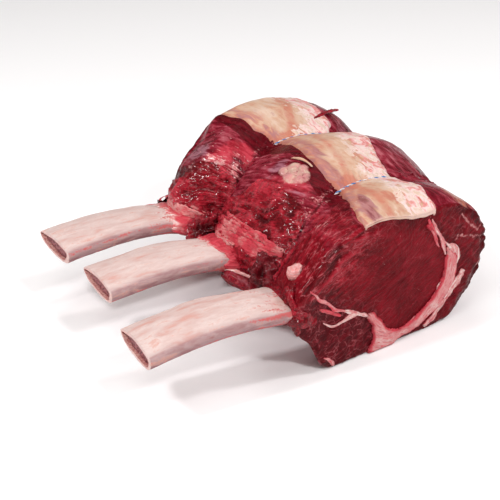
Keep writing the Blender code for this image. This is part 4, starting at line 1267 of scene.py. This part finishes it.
def shred(name, places, width, thickness, material, slot, seed, rough=0.35, segments=30, rings=60,
        free=False, **fields):
    """A torn strip. Places are (angle, place along the roast, height over the skin), or (x, y, z) if free."""
    places = np.array(places, float)
    route = places if free else on_skin(places[:, 0], places[:, 1], places[:, 2])
    bm, angle, share = ball(segments, rings)
    eased, line, ahead = follow(route, share)
    ahead = unit(ahead)
    outward = line - np.stack([np.full(len(line), CORE_X), line[:, 1], np.full(len(line), CORE_Z)], axis=1)
    outward -= (outward * ahead).sum(axis=1, keepdims=True) * ahead
    outward = unit(outward)
    across = np.cross(ahead, outward)
    a = np.radians(angle)
    swell = np.sqrt(np.clip(np.sin(share * math.pi), 0, 1))
    wavy = 1 + 0.45 * layered(line + 50 * seed, width * 1.6, 3, seed)
    flat, high = (np.sign(v) * np.abs(v) ** 0.7 for v in (np.cos(a), np.sin(a)))
    p = (line + across * (flat * width / 2 * swell * wavy)[:, None]
        + outward * (high * thickness / 2 * swell)[:, None])
    p = p + outward * (rough * thickness * layered(p, max(width * 0.5, 2.0), 3, seed + 1))[:, None]
    p = p + across * (rough * width * 0.5 * layered(p, max(width * 0.35, 1.5), 3, seed + 2) * swell)[:, None]
    ob = finish_mesh(bm, name, p)
    length = np.linalg.norm(np.diff(route, axis=0), axis=1).sum()
    paint(ob, run=eased * length + 70 * seed, side=flat * width / 2 + high * thickness / 2)
    fields = {k: (v(p, share) if callable(v) else v) for k, v in fields.items()}
    paint(ob, relief=0.5 + 0.5 * layered(p, 4, 3, seed + 5), **fields)
    return dress(ob, material, slot)


def lump(name, centre, radii, turn, material, slot, seed, rough=0.22, size=9, segments=56, rings=44,
        **fields):
    """An uneven lump of flesh or fat: radii along, across and up, turned about the vertical."""
    bm = ball(segments, rings)[0]
    co = np.array([v.co[:] for v in bm.verts])
    reach = (1 + rough * (layered(co * max(radii) + 40 * seed, size, 4, seed)
        + 0.6 * ridged(co * max(radii) + 40 * seed, size * 0.6, 2, seed + 3) - 0.3))
    q = co * reach[:, None] * np.array(radii)
    c, s = math.cos(math.radians(turn)), math.sin(math.radians(turn))
    p = np.stack([q[:, 0] * c - q[:, 1] * s, q[:, 0] * s + q[:, 1] * c, q[:, 2]], axis=1) + np.array(centre)
    ob = finish_mesh(bm, name, p)
    paint(ob, run=q[:, 0] + 70 * seed, side=q[:, 2])
    # The lump's height, which paints shade in its hollows and highlight on its crests
    paint(ob, relief=np.clip(0.5 + (reach - reach.mean()) * 1.6, 0, 1), **fields)
    return dress(ob, material, slot)


class ROAST_OT_root_tissue(Piece):
    """The torn pink sleeves where the ribs leave the meat"""

    bl_idname = "roast.root_tissue"
    bl_label = "Root tissue"

    def execute(self, context):
        Shape.measure()
        material = gristle(self.colours, "bloody tissue", self.colours.pink, self.colours.flush,
            self.colours.white_tissue)
        for number, (name, reach, low_reach) in enumerate(zip(RIB_NODES, (16, 9, 3), (10, 10, 10)), 1):
            grid, _, _, rows = RIB_SHAPES[name]
            stations = grid.shape[1]
            centre = grid.mean(axis=0)
            radius = np.hypot(centre[:, 0] - CORE_X, centre[:, 2] - CORE_Z)
            skin = skin_beyond(centre[:, 0], centre[:, 2], centre[:, 1])
            leaves = int(np.argmax(radius > skin))
            pitch = (rows[-1] - rows[0]) / (stations - 1)
            charts = rib_charts(grid)
            bm, angle, share = ball(*SLEEVE_MESH)
            a = np.radians(angle)
            around = np.stack([np.cos(a) * 14, np.sin(a) * 14, np.zeros_like(a)], axis=1)
            low = ease(0.2, -0.8, np.sin(a))
            out_reach = reach * (1 - low) + low_reach * low
            out_reach = out_reach * (1 + 0.9 * layered(around, 11, 4, 90 + number)) + 2
            start = leaves - 14 / pitch
            station = start + share * (leaves + out_reach / pitch - start)
            p = np.stack([c.at(angle % 360 / (360 / grid.shape[0]), station) for c in charts], axis=1)
            middle = np.stack([np.interp(station, np.arange(stations), centre[:, k]) for k in range(3)],
                axis=1)
            ray = p - middle
            ray /= np.maximum(np.linalg.norm(ray, axis=1, keepdims=True), 1e-6)
            thick = (3.6 * ease(1.0, 0.45, share) + 0.7) * ease(1.02, 0.9, share) * (1 + 0.5 * low)
            ruffle = 1.5 * (ridged(p, (9, 6, 5), 3, 95 + number) - 0.35) * ease(1.0, 0.8, share)
            offset = thick + ruffle - 2.2 * ease(0.93, 1.0, share)
            p = p + ray * offset[:, None]
            ends_in = np.sqrt(np.clip(np.sin(np.clip(share, 0, 1) * math.pi) * 14, 0, 1))
            p = middle + (p - middle) * ends_in[:, None]
            p[:, 2] = np.maximum(p[:, 2], 0.3)
            ob = finish_mesh(bm, f"root_tissue_{number}", p)
            paint(ob, run=station * pitch + 70 * number, side=(angle + 90) % 360 * 0.3)
            collar = (0.9, 0.5, 0.0)[number - 1] * hump(share - 0.93, 0.07) * ease(-0.3, 0.4, np.sin(a))
            paint(ob, flush=(0.65, 0.9, 1.1)[number - 1] - collar + 0.7 * layered(p, 8, 3, 99)
                + 0.5 * ease(0.0, -0.6, np.sin(a)))
            paint(ob, ragged=1.0, dark=0.5, relief=0.5 + 0.5 * layered(p, 6, 3, 98))
            dress(ob, bpy.data.materials["wet raw lean"] if number == 3 else material, "dark_meat"
                if number == 3 else "seam_fat")
        return {"FINISHED"}


# Torn flaps over the ribs: name, route as (angle, place along the roast, height above the skin), how many
# strands lie side by side, how many degrees apart, how wide and how thick in mm.
FLAPS = (("flap_2", ((169, 26, -1.2), (168, 12, -0.4), (166, -4, 0.0), (165, -20, 0.0), (164.5, -34, -0.2),
    (164, -47, -1.0)), 3, 3.4, 7.5, 2.0), ("flap_2_upper",
    ((161, 24, -1.2), (160, 8, -0.2), (161, -10, -0.2), (163, -28, -0.6)), 2, 2.4, 3.4, 1.5),
    ("flap_1", ((175, 72, -0.8), (175.5, 66, 1.8), (176, 58, 2.6), (176, 50, 1.6), (177, 38, -1.2)), 3, 3.8,
    9.0, 2.4), ("flap_1_upper", ((168, 72, -1.0), (168, 62, -0.3), (169, 52, -0.2), (171, 38, -0.9)), 2,
    2.4, 3.2, 1.5), ("collar_1", ((176, 72, -0.6), (174, 64, 1.0), (173.5, 57, 1.0), (174, 50, 0.0)), 2,
    2.6, 4.5, 2.6), ("collar_2", ((174, 18, -0.6), (172, 10, 1.0), (171, 3, 1.2), (170.5, -8, 0.2)), 2, 2.6,
    4.5, 2.6),)
FRONT_STRIPS = (((169, -76, 0.4), (175, -83, 1.6), (181, -88, 1.6), (188, -90.5, 0.2)),
                ((166, -80, 0.2), (172, -86, 1.2), (179, -90, 1.0)))
# The pale edge of the dark flap under the middle rib, as (x, y, z) in mm.
UNDER_LINE = ((-37, 0, 37), (-36, -8, 39), (-33, -22, 43), (-31, -33, 43.4), (-29, -41, 43.6),
    (-26, -50, 42.5))
# How red these flaps are. The others have 0.6.
FLAP_REDNESS = {"flap_1": 0.2, "flap_1_upper": 0.3, "collar_1": -0.2, "collar_2": -0.2}


class ROAST_OT_scraps(Piece):
    """Flaps, lumps, shreds and the small bubble of fat that lie on the skin"""

    bl_idname = "roast.scraps"
    bl_label = "Scraps and lumps"

    def execute(self, context):
        Shape.measure()
        c = self.colours
        pink = gristle(c, "pink tissue", c.pink, c.flush, c.gristle)
        fat = gristle(c, "bubble of fat", c.gristle, c.pink, c.white_tissue)
        lean = bpy.data.materials["wet raw lean"]
        for name, route, count, spread, width, thick in FLAPS:
            for k in range(count):
                rows = np.array(route, float)
                sway = rows * [0, 1 / 18, 0] + [k * 7.3, 0, 0]
                rows[:, 0] += (k - (count - 1) / 2) * spread + 2.0 * noise(sway, 1.0, 140)
                rows[:, 1] = np.clip(rows[:, 1] + 9 * noise(sway + 31, 1.0, 141), FRONT + 3, REAR - 20)
                rows[:, 2] += 0.4 * noise(sway + 57, 1.0, 142)
                redness = FLAP_REDNESS.get(name, 0.6) + 0.1 * (k % 3)
                shred(f"{name}_{k + 1}", rows, width * (1.1 + 0.3 * (k % 3 - 1)), thick, pink, "seam_fat",
                    150 + 7 * k, 0.4, 40, 110, flush=lambda p, t, redness=redness: redness
                    + 0.9 * layered(p, 6, 4, 1))
        for k, places in enumerate(FRONT_STRIPS):
            shred(f"strip_3_{k + 1}", places, 6.5 - 2 * k, 3.6, lean, "dark_meat", 120 + k, 0.4, 30, 60,
                ragged=1.0, dark=0.4 * k)
        lump("lump_3", (-27, -74.5, 62.5), (6.2, 5.4, 5.4), 30, fat, "seam_fat", 106, 0.34, 7, flush=0.3)
        lump("lump_3_side", (-25.5, -80.5, 59.5), (4.4, 4.0, 4.4), 30, fat, "seam_fat", 105, 0.34, 7,
            flush=0.5)
        lump("lump_3_low", (-31, -84, 54), (6, 5, 6), 10, pink, "seam_fat", 107, 0.5, 6, flush=0.8)
        # The lumps between the ribs are dark: painted shade between the ribs
        lump("between_1_2", (-11, 33, 41), (16, 10, 13), 0, lean, "dark_meat", 108, 0.7, 9, ragged=1.0,
            dark=0.5)
        lump("between_2_3", (-22, -40, 44), (13, 9, 14), 0, lean, "dark_meat", 109, 0.7, 9, ragged=1.0,
            dark=1.0)
        lump("under_2", (-29, -24, 38), (10, 16, 5), 12, lean, "dark_meat", 110, 0.15, 12, ragged=0.5,
            silver=0.3, dark=0.5)
        shred("under_2_line", UNDER_LINE, 2.0, 1.6, fat, "seam_fat", 111, free=True, flush=-0.3)
        shred("tendon", ((107, -6, 0.6), (105.5, -11, 1.6), (104, -17, 1.7), (104, -23, 0.6)), 1.7, 1.2,
            tallow(c), "cover_fat", 112, 0.3, 16, 40)
        shred("red_shred", ((50, 46, 0.6), (43, 50, 1.6), (37, 54, 2.6), (31, 58, 5.0)), 2.4, 1.6, lean,
            "lean_meat", 113, 0.4, 18, 50, ragged=0.9)
        return {"FINISHED"}


class ROAST_OT_twine(Piece):
    """Two loops of two-ply blue and white twine, drawn tight round the roast"""

    bl_idname = "roast.twine"
    bl_label = "Twine"

    def execute(self, context):
        s, c = self.sizes, self.colours
        plies = (cotton("blue ply", c.blue, tuple(v * 0.6 for v in c.blue)),
            cotton("white ply", c.white, tuple(v * 0.7 for v in c.white)))
        for number in (1, 2):
            name = f"twine_{number}"
            tree, _ = tree_of((name,))
            y = TWINE_Y[number - 1]
            angles = np.arange(0, 360, 1.0)
            reach = []
            for a in np.radians(angles):
                ray = Vector((math.cos(a), 0, math.sin(a)))
                hit = tree.ray_cast(Vector((CORE_X, y, CORE_Z)) + ray * FAR, -ray)[3]
                reach.append(FAR - hit - TWINE_RADIUS)
            side = np.where(angles > 180, angles - 360, angles)
            buried = (ease(1, 7, angles - border(FAT_LEFT, y)) * ease(215, 200, angles)
                + ease(10, 4, side - border(FAT_RIGHT, y)) * ease(8, 16, side))
            reach = np.array(reach)
            reach = (reach + (np.minimum(Shape.skin.at(angles, np.full(len(angles), y)) - 1.2, reach)
                - reach) * buried)
            path = about_core(angles, reach, y)
            gap = np.linalg.norm(np.roll(path, -1, 0) - path, axis=1)
            at = np.concatenate([[0], np.cumsum(gap)])
            turns = round(at[-1] / (s.lay / MM))
            count = turns * PER_TURN
            places = np.linspace(0, at[-1], count, endpoint=False)
            closed = np.concatenate([path, path[:1]])
            line = np.stack([np.interp(places, at, closed[:, k]) for k in range(3)], axis=1)
            sway = np.array([0.0, 1.0, 0.0])
            outward = unit(np.cross(sway, unit(np.roll(line, -1, 0) - np.roll(line, 1, 0))))
            for ply, material in enumerate(plies):
                phase = np.arange(count) / PER_TURN * 2 * math.pi + ply * math.pi
                strand = (line + (outward * np.cos(phase)[:, None] + sway * np.sin(phase)[:, None]) * s.ply
                    / MM)
                curve = bpy.data.curves.new(f"twine_{number}_ply_{ply + 1}", "CURVE")
                curve.dimensions, curve.bevel_depth, curve.bevel_resolution = "3D", s.ply * 1.05, 2
                spline = curve.splines.new("POLY")
                spline.points.add(count - 1)
                spline.points.foreach_set("co", np.concatenate([strand * MM, np.ones((count, 1))],
                    axis=1).ravel())
                spline.use_cyclic_u = True
                ob = bpy.data.objects.new(curve.name, curve)
                bpy.context.scene.collection.objects.link(ob)
                dress(ob, material, "twine", name)
        return {"FINISHED"}


class ROAST_OT_stage(Piece):
    """Floor, studio light and camera"""

    bl_idname = "roast.stage"
    bl_label = "Stage"

    def execute(self, context):
        s, c = self.sizes, self.colours
        scene = bpy.context.scene
        bm = bmesh.new()
        bmesh.ops.create_grid(bm, x_segments=1, y_segments=1, size=s.floor / MM / 2)
        floor = finish_mesh(bm, "floor", smooth=False)
        g = Graph("pale floor")
        floor.data.materials.append(g.close(Base_Color=g.mix(g.blotches(400), c.floor,
            tuple(v * 0.98 for v in c.floor)), Roughness=0.9, Specular_IOR_Level=0.1))

        world = bpy.data.worlds.new("studio")
        world.use_nodes = True
        world.node_tree.nodes["Background"].inputs["Color"].default_value = (1.0, 0.985, 0.97, 1.0)
        world.node_tree.nodes["Background"].inputs["Strength"].default_value = SKY_STRENGTH
        scene.world = world
        for name, place, size, power, tint in LIGHTS:
            light = bpy.data.lights.new(name, "AREA")
            light.energy, light.size, light.color = power, size, tint
            ob = bpy.data.objects.new(name, light)
            ob.location = place
            ob.rotation_euler = (Vector((0.02, 0, 0.04)) - Vector(place)).to_track_quat("-Z", "Y").to_euler()
            scene.collection.objects.link(ob)

        camera = bpy.data.objects.new("camera", bpy.data.cameras.new("camera"))
        turn, tilt = math.radians(CAMERA_TURN), math.radians(CAMERA_TILT)
        back = Vector((math.sin(turn) * math.cos(tilt), -math.cos(turn) * math.cos(tilt), math.sin(tilt)))
        camera.location = Vector(CAMERA_LOOKS_AT) + back * CAMERA_AWAY
        camera.rotation_euler = (-back).to_track_quat("-Z", "Y").to_euler()
        camera.data.lens, camera.data.sensor_width = s.lens, 36.0
        scene.collection.objects.link(camera)
        scene.camera = camera
        scene.view_settings.view_transform = "Standard"
        return {"FINISHED"}


class ROAST_PT_panel(Panel):
    """Lists the pieces of the roast"""

    bl_idname = "ROAST_PT_panel"
    bl_label = "Rib roast"
    bl_space_type = "VIEW_3D"
    bl_region_type = "UI"
    bl_category = "Roast"

    def draw(self, context):
        for operator in OPERATORS:
            self.layout.operator(operator.bl_idname)
        for group in (context.scene.roast_sizes, context.scene.roast_colours):
            for name in group.__annotations__:
                self.layout.prop(group, name)


OPERATORS = (ROAST_OT_body, ROAST_OT_cover_fat, ROAST_OT_seam_fat, ROAST_OT_ribs, ROAST_OT_root_tissue,
    ROAST_OT_scraps, ROAST_OT_twine, ROAST_OT_stage)
CLASSES = (RoastSizes, RoastColours, *OPERATORS, ROAST_PT_panel)


def register():
    for cls in CLASSES:
        bpy.utils.register_class(cls)
    bpy.types.Scene.roast_sizes = PointerProperty(type=RoastSizes)
    bpy.types.Scene.roast_colours = PointerProperty(type=RoastColours)


def unregister():
    del bpy.types.Scene.roast_sizes
    del bpy.types.Scene.roast_colours
    for cls in reversed(CLASSES):
        bpy.utils.unregister_class(cls)


def main():
    register()
    for operator in OPERATORS:
        group, name = operator.bl_idname.split(".")
        getattr(getattr(bpy.ops, group), name)()


if __name__ == "__main__":
    main()
